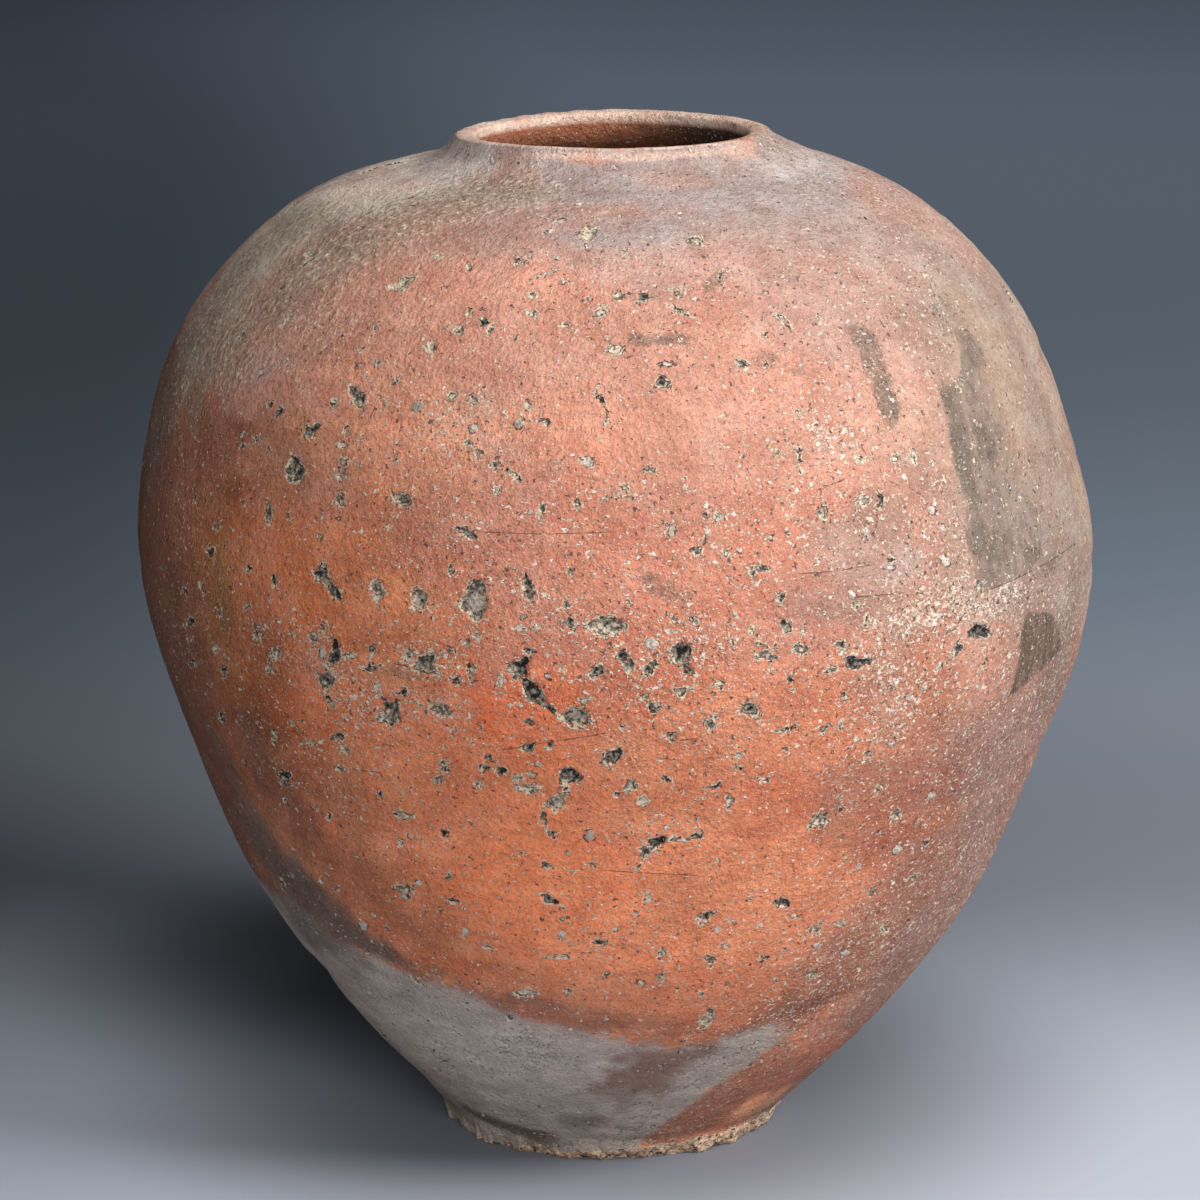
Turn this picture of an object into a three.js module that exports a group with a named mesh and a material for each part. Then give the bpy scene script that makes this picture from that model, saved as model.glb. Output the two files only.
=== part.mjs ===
// Stoneware storage jar: round shoulders, narrow foot, wide belly, short low lip.
// The jar is built by hand from a floor slab and six wall stages, each a few thick coils of
// clay pinched together, with a coil pressed into the inner angle of the floor and a short
// neck with its lip on top. Each stage is luted edge to edge on the one below, on a seam cut
// square to the wall, and left to firm before the next one is added.
// Millimetres, +Z up. The origin is on the floor, under the middle of the jar's outline.
import * as THREE from "three";

// Floor slab, and how much wider its top edge is than its foot
const footRadius = 75;
const floorThickness = 14;
const floorFlare = 8.7;

// Wall stages from the foot up: the height of each, and the outer radius at its upper seam.
// The jar is widest at the top of the belly; the seams next to it are set in from there.
const heelHeight = 72;
const heelTopRadius = 146;
const lowerHeight = 96;
const lowerTopSetIn = 19.5;
const bellyHeight = 80;
const bellyTopRadius = 211.5;
const haunchHeight = 90;
const haunchTopSetIn = 19.5;
const shoulderHeight = 58;
const shoulderTopRadius = 147;
const crownHeight = 26;
const crownTopRadius = 91;

// Neck: sweeps up from the shoulder to the foot of the lip
const neckHeight = 9;
const neckTopRadius = 71;

// Lip: a low band with sloping sides and a flat, worn top
const lipHeight = 5;
const lipTopRadius = 67.6;
const lipThickness = 7.8;
const lipRounding = 1.2;

// Clay
const wallThickness = 10.5;
const heelThickness = 16;
const coilHeight = 34;
const coilCrease = 1.2;
const seamHollow = 0.9;
const innerCoilWidth = 24;

// The upper body was set a little off the axis of the lower one, and the jar is a little oval
const upperBodyShift = -5.5;
const shiftBand = 90;
const ovality = 0.004;
const ovalTurn = THREE.MathUtils.degToRad(35);

// Facets round the jar, and rows up each coil
const sides = 56;
const rowsPerCoil = 3;

// Stations of the outer outline from the foot up
const stations = [];
function addStation(name, rise, radius) {
  const below = stations.length ? stations.at(-1).height : 0;
  stations.push({ name, radius, height: below + rise });
}
addStation("foot", 0, footRadius);
addStation("floor", floorThickness, footRadius + floorFlare);
addStation("heelTop", heelHeight, heelTopRadius);
addStation("lowerTop", lowerHeight, bellyTopRadius - lowerTopSetIn);
addStation("bellyTop", bellyHeight, bellyTopRadius);
addStation("haunchTop", haunchHeight, bellyTopRadius - haunchTopSetIn);
addStation("shoulderTop", shoulderHeight, shoulderTopRadius);
addStation("crownTop", crownHeight, crownTopRadius);

const outline = new THREE.SplineCurve(stations.map((s) => new THREE.Vector2(s.radius, s.height)));
const lastStation = stations.length - 1;

// A place along the outline is counted in stations from the foot, so 2.5 is halfway from
// station 2 to station 3
const placeOf = (name) => stations.findIndex((s) => s.name === name);
const seams = ["heelTop", "lowerTop", "bellyTop", "haunchTop", "shoulderTop", "crownTop"].map(placeOf);

function outwardAt(place) {
  const tangent = outline.getTangent(place / lastStation);
  return new THREE.Vector2(tangent.y, -tangent.x);
}

// Outer point of the wall, drawn in a little where two stages meet
function outerPoint(place) {
  const point = outline.getPoint(place / lastStation);
  return seams.includes(place) ? point.addScaledVector(outwardAt(place), -seamHollow) : point;
}

// Inner point of the wall: level with the outer one at the floor, square to the wall above
function innerPoint(place, onCrease) {
  const share = THREE.MathUtils.clamp(place - placeOf("floor"), 0, 1);
  const turn = THREE.MathUtils.smoothstep(share, 0, 1);
  const outward = new THREE.Vector2(1, 0).lerp(outwardAt(place), turn).normalize();
  const clay = THREE.MathUtils.lerp(heelThickness, wallThickness, share);
  return outerPoint(place).addScaledVector(outward, onCrease ? coilCrease - clay : -clay);
}

// How far the ring at this height is centred off the lower body's axis
function axisShift(height) {
  const start = stations[placeOf("bellyTop")].height - shiftBand / 2;
  return upperBodyShift * THREE.MathUtils.smoothstep(height, start, start + shiftBand);
}

function ringVertex({ x: radius, y: height }, side) {
  const angle = (2 * Math.PI * side) / sides;
  const reach = radius * (1 + ovality * Math.cos(2 * (angle - ovalTurn)));
  return [reach * Math.cos(angle) + axisShift(height), reach * Math.sin(angle), height];
}

// Turns a section into a closed body. The section goes round the clay anticlockwise, seen
// with the axis on its left; it closes on itself, or starts and ends on the axis. A quad is
// always split from its wider ring, so two pieces that share two rings share their faces too.
function ringLoft(section) {
  const positions = [];
  const rings = section.map((point) => {
    const first = positions.length / 3;
    const count = point.x === 0 ? 1 : sides;
    for (let side = 0; side < count; side++) positions.push(...ringVertex(point, side));
    return { point, vertex: (side) => first + (side % count) };
  });
  const isWider = (a, b) => (a.point.x === b.point.x ? a.point.y > b.point.y : a.point.x > b.point.x);
  const onAxis = section[0].x === 0;
  const triangles = [];
  rings.slice(0, onAxis ? -1 : undefined).forEach((low, i) => {
    const high = rings[(i + 1) % rings.length];
    for (let side = 0; side < sides; side++) {
      const [a, b] = [low.vertex(side), low.vertex(side + 1)];
      const [c, d] = [high.vertex(side), high.vertex(side + 1)];
      const halves = isWider(low, high) ? [[a, b, d], [a, d, c]] : [[a, b, c], [b, d, c]];
      triangles.push(...halves.filter((half) => new Set(half).size === 3).flat());
    }
  });
  const geometry = new THREE.BufferGeometry();
  geometry.setAttribute("position", new THREE.Float32BufferAttribute(positions, 3));
  geometry.setIndex(triangles);
  geometry.computeVertexNormals();
  return geometry;
}

function stageLength(from, to) {
  const steps = 24;
  const points = Array.from({ length: steps + 1 }, (_, i) =>
    outline.getPoint((from + ((to - from) * i) / steps) / lastStation),
  );
  return points.slice(1).reduce((length, point, i) => length + point.distanceTo(points[i]), 0);
}

// Rows of one wall stage from its lower seam to its upper one, with a crease between coils
function stageRows(lowerName, upperName) {
  const from = placeOf(lowerName);
  const to = placeOf(upperName);
  const coils = Math.max(1, Math.round(stageLength(from, to) / coilHeight));
  const rows = coils * rowsPerCoil;
  const outer = [];
  const inner = [];
  for (let row = 0; row <= rows; row++) {
    const place = from + ((to - from) * row) / rows;
    outer.push(outerPoint(place));
    inner.push(innerPoint(place, row % rowsPerCoil === 0));
  }
  return { outer, inner };
}

function wallStage(lowerName, upperName) {
  const { outer, inner } = stageRows(lowerName, upperName);
  return ringLoft([...outer, ...inner.reverse()]);
}

// The slab's edge follows the outline; its top is flat, for the wall and the inner coil
function floorSlab() {
  const steps = 3;
  const edge = Array.from({ length: steps + 1 }, (_, i) => outerPoint(i / steps));
  const centre = (height) => new THREE.Vector2(0, height);
  return ringLoft([centre(0), ...edge, centre(floorThickness)]);
}

// Coil pressed into the angle of floor and wall, as high as the wall's first coil and
// smoothed to a hollow curve
function innerCoil() {
  const hollowSteps = 5;
  const againstWall = stageRows("floor", "heelTop").inner.slice(0, rowsPerCoil + 1);
  const corner = againstWall[0];
  const top = againstWall.at(-1);
  const toe = new THREE.Vector2(corner.x - innerCoilWidth, corner.y);
  const pull = new THREE.Vector2().lerpVectors(toe, top, 0.5).lerp(corner, 0.5);
  const hollow = new THREE.QuadraticBezierCurve(top, pull, toe).getPoints(hollowSteps);
  return ringLoft([toe, ...againstWall, ...hollow.slice(1, -1)]);
}

// Short neck that carries on the shoulder's slope and turns up, with the lip on top
function neckAndLip() {
  const seamHeight = stations.at(-1).height;
  const neckTop = seamHeight + neckHeight;
  const crest = neckTop + lipHeight;
  const throatRadius = lipTopRadius - lipThickness;
  const root = outerPoint(lastStation);
  const rootInside = innerPoint(lastStation, true);
  const sweep = new THREE.QuadraticBezierCurve(
    root,
    new THREE.Vector2(THREE.MathUtils.lerp(neckTopRadius, root.x, 0.25), seamHeight + neckHeight / 2),
    new THREE.Vector2(neckTopRadius, neckTop),
  );
  const throat = new THREE.QuadraticBezierCurve(
    new THREE.Vector2(throatRadius, neckTop - lipRounding),
    new THREE.Vector2(throatRadius, seamHeight - wallThickness / 2),
    rootInside,
  );
  return ringLoft([
    ...sweep.getPoints(5),
    new THREE.Vector2(lipTopRadius, crest - lipRounding),
    new THREE.Vector2(lipTopRadius - lipRounding, crest),
    new THREE.Vector2(throatRadius + lipRounding, crest),
    new THREE.Vector2(throatRadius, crest - lipRounding),
    ...throat.getPoints(5),
  ]);
}

function piece(name, geometry, color) {
  const material = new THREE.MeshStandardMaterial({ color, roughness: 0.95, metalness: 0 });
  const mesh = new THREE.Mesh(geometry, material);
  mesh.name = name;
  return mesh;
}

const jar = new THREE.Group();
jar.name = "storage_jar";
jar.add(
  piece("base_slab", floorSlab(), 0x9a7a5c),
  piece("inner_coil", innerCoil(), 0x8a4a38),
  piece("heel_wall", wallStage("floor", "heelTop"), 0x7e6258),
  piece("lower_wall", wallStage("heelTop", "lowerTop"), 0xa24a2c),
  piece("belly_wall", wallStage("lowerTop", "bellyTop"), 0xa8523a),
  piece("haunch_wall", wallStage("bellyTop", "haunchTop"), 0xa15a48),
  piece("shoulder_wall", wallStage("haunchTop", "shoulderTop"), 0x96604f),
  piece("crown_wall", wallStage("shoulderTop", "crownTop"), 0x8c6a5c),
  piece("neck_and_lip", neckAndLip(), 0x9c7466),
);

// The shift and the oval move the outline off centre, so the origin goes back under its middle
const middle = new THREE.Box3().setFromObject(jar).getCenter(new THREE.Vector3());
for (const mesh of jar.children) mesh.geometry.translate(-middle.x, -middle.y, 0);

export default jar;
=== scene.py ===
# Stoneware storage jar, dressed for its photograph. The hand-built skin is worked out as one
# surface, with its lean, dents, hollows and stones, and cut into the stages of the solid jar.
# Lengths are millimetres until a mesh, lamp or camera is made. -Y is the side in the photograph.
import math

import bpy
import numpy as np
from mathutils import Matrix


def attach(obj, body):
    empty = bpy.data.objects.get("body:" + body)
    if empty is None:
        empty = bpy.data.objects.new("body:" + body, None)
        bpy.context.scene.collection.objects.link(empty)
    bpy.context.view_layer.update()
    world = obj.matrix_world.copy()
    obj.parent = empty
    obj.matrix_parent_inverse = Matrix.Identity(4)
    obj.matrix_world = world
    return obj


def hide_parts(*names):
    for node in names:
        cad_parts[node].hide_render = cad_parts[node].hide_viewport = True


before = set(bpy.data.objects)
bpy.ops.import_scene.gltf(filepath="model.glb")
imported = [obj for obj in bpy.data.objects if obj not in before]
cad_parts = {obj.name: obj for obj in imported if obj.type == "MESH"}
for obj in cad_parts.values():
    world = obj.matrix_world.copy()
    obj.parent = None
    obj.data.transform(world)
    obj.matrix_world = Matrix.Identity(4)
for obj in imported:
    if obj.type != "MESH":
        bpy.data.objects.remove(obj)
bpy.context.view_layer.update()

METRES = 0.001

# Camera, fitted to the ellipses of mouth and foot and to the outline in the photograph
PHOTO_SIZE = 1200
FOCAL_PIXELS = 4291.3
SENSOR_WIDTH = 36.0
CAMERA_PLACE = np.array([-7.05, -1869.2, 693.0])
CAMERA_PITCH = math.radians(13.69)

# Outer outline from the foot up: radius and height
OUTLINE = [
    (73.3, 0), (76.8, 5), (80.9, 10), (89.3, 20), (103.3, 35), (117.2, 50), (133.4, 70),
    (147.8, 90), (160.9, 110), (179.6, 150), (194.5, 190), (207.0, 230), (211.6, 266),
    (209.6, 290), (205.3, 310), (193.0, 350), (182.7, 370), (172.0, 385), (158.3, 400),
    (146.7, 410), (131.5, 420), (107.9, 430), (90.0, 436), (79.6, 440), (73.4, 443.6),
    (70.4, 446.6), (68.2, 449.2),
]

# How far the ring at each height is centred off the axis, to the right in the photograph
LEAN = [
    (-1.5, 0), (0.4, 20), (1.4, 60), (1.6, 110), (0.9, 150), (1.9, 205), (1.2, 245), (-0.2, 270),
    (-3.2, 310), (-4.5, 350), (-4.1, 385), (-4.3, 410), (-3.8, 422), (0.8, 435), (1.0, 441),
    (-1.2, 446), (-1.9, 450),
]
OVALITY = 0.004
OVAL_TURN = math.radians(35)

# Heights of the seams between the stages, and the clay's thickness
SEAM_HEIGHTS = [14, 86, 182, 262, 352, 410, 436]
FLOOR_LEVEL, HEEL_LEVEL = SEAM_HEIGHTS[:2]
JAR_HEIGHT = 450.0
WALL = 10.5
HEEL_WALL = 16.0
COIL_HEIGHT = 34
THROAT_RADIUS = 59.8
THROAT_BEND = 431.0

# Mesh: rows up the skin, and columns round it, closer together on the side in the photograph
ROW_STEP = 1.25
FINE_ROW_STEP = 0.7
INNER_ROW_EVERY = 4
FRONT_HALF_ANGLE = math.radians(98)
FRONT_COLUMNS = 560
BACK_COLUMNS = 260
OUTLINE_STEPS = 6000

# Spread of a B-spline lattice of random numbers, and where a camera ray is searched for the jar
LATTICE_RMS = 0.48
RAY_LENGTHS = np.arange(1500.0, 2200.0, 0.5)


def natural_spline(knots, values, at):
    """Values at the given places of the natural cubic spline through the knots."""
    knots, values = np.asarray(knots, float), np.asarray(values, float)
    gap = np.diff(knots)
    slope = np.diff(values) / gap
    count = len(knots)
    system = np.eye(count)
    right = np.zeros(count)
    for i in range(1, count - 1):
        system[i, i - 1 : i + 2] = gap[i - 1], 2 * (gap[i - 1] + gap[i]), gap[i]
        right[i] = 6 * (slope[i] - slope[i - 1])
    bend = np.linalg.solve(system, right)
    i = np.clip(np.searchsorted(knots, at) - 1, 0, count - 2)
    a = (knots[i + 1] - at) / gap[i]
    b = 1 - a
    curve = ((a**3 - a) * bend[i] + (b**3 - b) * bend[i + 1]) * gap[i] ** 2 / 6
    return a * values[i] + b * values[i + 1] + curve


def smoothstep(value, low, high):
    share = np.clip((value - low) / (high - low), 0, 1)
    return share * share * (3 - 2 * share)


def bell(value, reach):
    """1 at no distance, falling softly to nothing at about twice the reach."""
    return np.exp(-((value / reach) ** 2))


def distance_along(radii, heights):
    """Distance from the start of a line to each of its points."""
    return np.concatenate([[0], np.cumsum(np.hypot(np.diff(radii), np.diff(heights)))])


# The outline as radius, height and distance along it
outline_radius, outline_height = np.array(OUTLINE, float).T
chords = distance_along(outline_radius, outline_height)
dense_chords = np.linspace(0, chords[-1], OUTLINE_STEPS)
dense_radius = natural_spline(chords, outline_radius, dense_chords)
dense_height = natural_spline(chords, outline_height, dense_chords)
dense_along = distance_along(dense_radius, dense_height)
lean_offset, lean_height = np.array(LEAN, float).T


def along_at(height):
    return np.interp(height, dense_height, dense_along)


def radius_at(height):
    return np.interp(height, dense_height, dense_radius)


def lean_at(height):
    return natural_spline(lean_height, lean_offset, np.clip(height, 0, lean_height[-1]))


# Rows of the skin: equal steps within each stage, so that a row lies on every seam
rows = [0.0]
seam_rows = []
for stage, top in enumerate([*map(along_at, SEAM_HEIGHTS), dense_along[-1]]):
    step = FINE_ROW_STEP if stage in (0, len(SEAM_HEIGHTS)) else ROW_STEP
    count = INNER_ROW_EVERY * max(1, round((top - rows[-1]) / step / INNER_ROW_EVERY))
    rows.extend(np.linspace(rows[-1], top, count + 1)[1:])
    seam_rows.append(len(rows) - 1)
along = np.array(rows)
radius = np.interp(along, dense_along, dense_radius)
height = np.interp(along, dense_along, dense_height)
rise = np.gradient(dense_height, dense_along)
spread = np.gradient(dense_radius, dense_along)
out_share = np.interp(along, dense_along, rise)
up_share = -np.interp(along, dense_along, spread)
centre = lean_at(height)

# Columns: the angle round from the front, to the right in the photograph
back_half = math.pi - FRONT_HALF_ANGLE
turn = np.concatenate([
    np.linspace(-FRONT_HALF_ANGLE, FRONT_HALF_ANGLE, FRONT_COLUMNS, endpoint=False),
    FRONT_HALF_ANGLE + np.linspace(0, 2 * back_half, BACK_COLUMNS, endpoint=False),
])
ROUND = 2 * math.pi
shape = (len(along), len(turn))


def spline_weights(places, count, wraps):
    """Weights of a cubic B-spline lattice at the given places, counted in cells."""
    cell = np.floor(places).astype(int)
    f = places - cell
    parts = [(1 - f) ** 3, 3 * f**3 - 6 * f**2 + 4, -3 * f**3 + 3 * f**2 + 3 * f + 1, f**3]
    weights = np.zeros((len(places), count))
    for k, part in enumerate(parts):
        column = (cell + k) % count if wraps else cell + k
        np.add.at(weights, (np.arange(len(places)), column), part / 6)
    return weights


def soft_noise(seed, across, up):
    """Smooth random field of rms 1 over the skin, with lumps of the given size at the belly."""
    rng = np.random.default_rng(seed)
    cells_round = max(3, round(ROUND * dense_radius.max() / across))
    cells_up = max(2, round(dense_along[-1] / up))
    lattice = rng.normal(size=(cells_up + 4, cells_round))
    by_row = spline_weights(along / dense_along[-1] * cells_up, cells_up + 4, False)
    by_column = spline_weights((turn % ROUND) / ROUND * cells_round, cells_round, True)
    return by_row @ lattice @ by_column.T / LATTICE_RMS


def photo_ray(x, y):
    """Direction from the camera through a pixel of the photograph."""
    forward = np.array([0, math.cos(CAMERA_PITCH), -math.sin(CAMERA_PITCH)])
    up = np.array([0, math.sin(CAMERA_PITCH), math.cos(CAMERA_PITCH)])
    right = np.array([1.0, 0, 0])
    middle = PHOTO_SIZE / 2
    direction = forward * FOCAL_PIXELS + right * (x - middle) + up * (middle - y)
    return direction / np.linalg.norm(direction)


def seen(x, y):
    """Where the jar's skin shows at a pixel of the photograph: angle round and distance along."""
    points = CAMERA_PLACE + RAY_LENGTHS[:, None] * photo_ray(x, y)
    side = points[:, 0] - lean_at(points[:, 2])
    gap = np.hypot(side, points[:, 1]) - radius_at(points[:, 2])
    gap[(points[:, 2] < 0) | (points[:, 2] > dense_height[-1])] = np.inf
    inside = np.flatnonzero(gap < 0)
    first = inside[0] if len(inside) else int(np.argmin(gap))
    return math.atan2(side[first], -points[first, 1]), float(along_at(points[first, 2]))


def placed(degrees, level):
    """A place given as degrees round from the front and height."""
    return math.radians(degrees), float(along_at(level))


def wrapped(angle):
    return (angle + math.pi) % ROUND - math.pi


# Fields over the skin, in millimetres: how far it stands out, and signed distances to marks
stand_out = np.zeros(shape)
hollow = np.full(shape, 9.0)
hollow_tone_and_shade = np.full(shape, 0.3)
stone = np.full(shape, 9.0)
stone_tone = np.full(shape, 0.5)
line = np.full(shape, 4.0)
line_on = np.zeros(shape)


def window(place, reach):
    """Rows and columns of the skin within reach of a place, and their distances across and up."""
    angle, distance = place
    near_rows = np.flatnonzero(np.abs(along - distance) < reach)
    local_radius = np.interp(distance, along, radius)
    across = wrapped(turn - angle) * local_radius
    near_columns = np.flatnonzero(np.abs(across) < reach)
    up = (along[near_rows] - distance)[:, None]
    return np.ix_(near_rows, near_columns), across[near_columns][None, :], up


def as_seen(place, across, up):
    """Offsets on the skin turned into the offsets that the camera sees."""
    angle, distance = place
    outwards = float(np.interp(distance, dense_along, spread))
    upwards = float(np.interp(distance, dense_along, rise))
    tip = math.sin(CAMERA_PITCH)
    rise_seen = upwards * math.cos(CAMERA_PITCH) - outwards * math.cos(angle) * tip
    seen_across = across * math.cos(angle) + up * outwards * math.sin(angle)
    seen_up = across * math.sin(angle) * tip + up * rise_seen
    return seen_across, seen_up


def blob_distance(across, up, length, width, tilt, rng, raggedness=0.22, roundness=2.0):
    """Signed distance to an uneven patch: an oval, or one with pointed ends if less round."""
    slant = math.radians(tilt)
    a = (across * math.cos(slant) + up * math.sin(slant)) / (length / 2)
    b = (up * math.cos(slant) - across * math.sin(slant)) / (width / 2)
    angle = np.arctan2(b, a)
    edge = 1.0
    for lobes in (2, 3, 5):
        phase = rng.uniform(0, ROUND)
        edge = edge + raggedness * rng.normal() * np.cos(lobes * angle + phase) / math.sqrt(lobes)
    edge = np.maximum(edge, 0.35)
    reach = (np.abs(a) ** roundness + np.abs(b) ** roundness) ** (1 / roundness) / edge
    steep = np.hypot(a / (length / 2), b / (width / 2)) / edge
    return reach * (reach - 1) / np.maximum(steep, 1e-6)


def cut_hollow(place, length, width, tilt, tone, rng, view=False):
    """A torn hollow where a stone or a bit of straw left the clay, its tone darkened towards the upper right
    as painted shade.
    """
    size = max(length, width)
    at, across, up = window(place, size * (1.3 if view else 0.8) + 7)
    if view:
        across, up = as_seen(place, across, up)
    distance = blob_distance(across, up, length, width, tilt, rng, roundness=1.4)
    closer = distance < hollow[at]
    # Painted shade: each hollow's tone is darker on its upper right side, as if lit from above
    painted_shade_side = np.clip((0.9 * up + 0.4 * across) / (0.3 * (length + width)), -1, 1)
    hollow_tone_and_shade[at] = np.where(closer, tone - 0.25 * painted_shade_side, hollow_tone_and_shade[at])
    hollow[at] = np.where(closer, distance, hollow[at])
    depth = (0.5 + 0.28 * min(length, width)) * (1.1 - 0.6 * tone)
    floor = 0.75 + 0.25 * np.sin(across * 2.1 + rng.uniform(0, 6)) * np.cos(up * 1.7)
    stand_out[at] -= depth * floor * smoothstep(-distance, 0, min(1.6, size / 4))
    stand_out[at] += 0.12 * bell(distance - 0.8, 0.9)


def set_stone(place, length, width, tilt, lift, tone, rng, view=False):
    """A stone that shows in the clay."""
    size = max(length, width)
    at, across, up = window(place, size * (1.3 if view else 0.8) + 5)
    if view:
        across, up = as_seen(place, across, up)
    distance = blob_distance(across, up, length, width, tilt, rng, 0.16, 1.7)
    closer = distance < stone[at]
    stone_tone[at] = np.where(closer, tone, stone_tone[at])
    stone[at] = np.where(closer, distance, stone[at])
    stand_out[at] += lift * smoothstep(-distance, -0.2, size / 4)
    stand_out[at] -= 0.35 * bell(distance - 0.3, 0.6)


def scratch(places):
    """A thin dark drag line through the places."""
    for start, end in zip(places[:-1], places[1:]):
        local_radius = np.interp(start[1], along, radius)
        run = wrapped(end[0] - start[0]) * local_radius
        climb = end[1] - start[1]
        length = math.hypot(run, climb)
        middle = (start[0] + run / 2 / local_radius, start[1] + climb / 2)
        at, across, up = window(middle, length / 2 + 6)
        lengthways = (across * run + up * climb) / length
        sideways = (up * run - across * climb) / length
        on = smoothstep(length / 2 + 1.5 - np.abs(lengthways), 0, 3.0) * (np.abs(sideways) < 4)
        closer = (on > 0.01) & (np.abs(sideways) < np.abs(line[at]))
        line[at] = np.where(closer, sideways, line[at])
        line_on[at] = np.where(closer, on, line_on[at])
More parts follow.
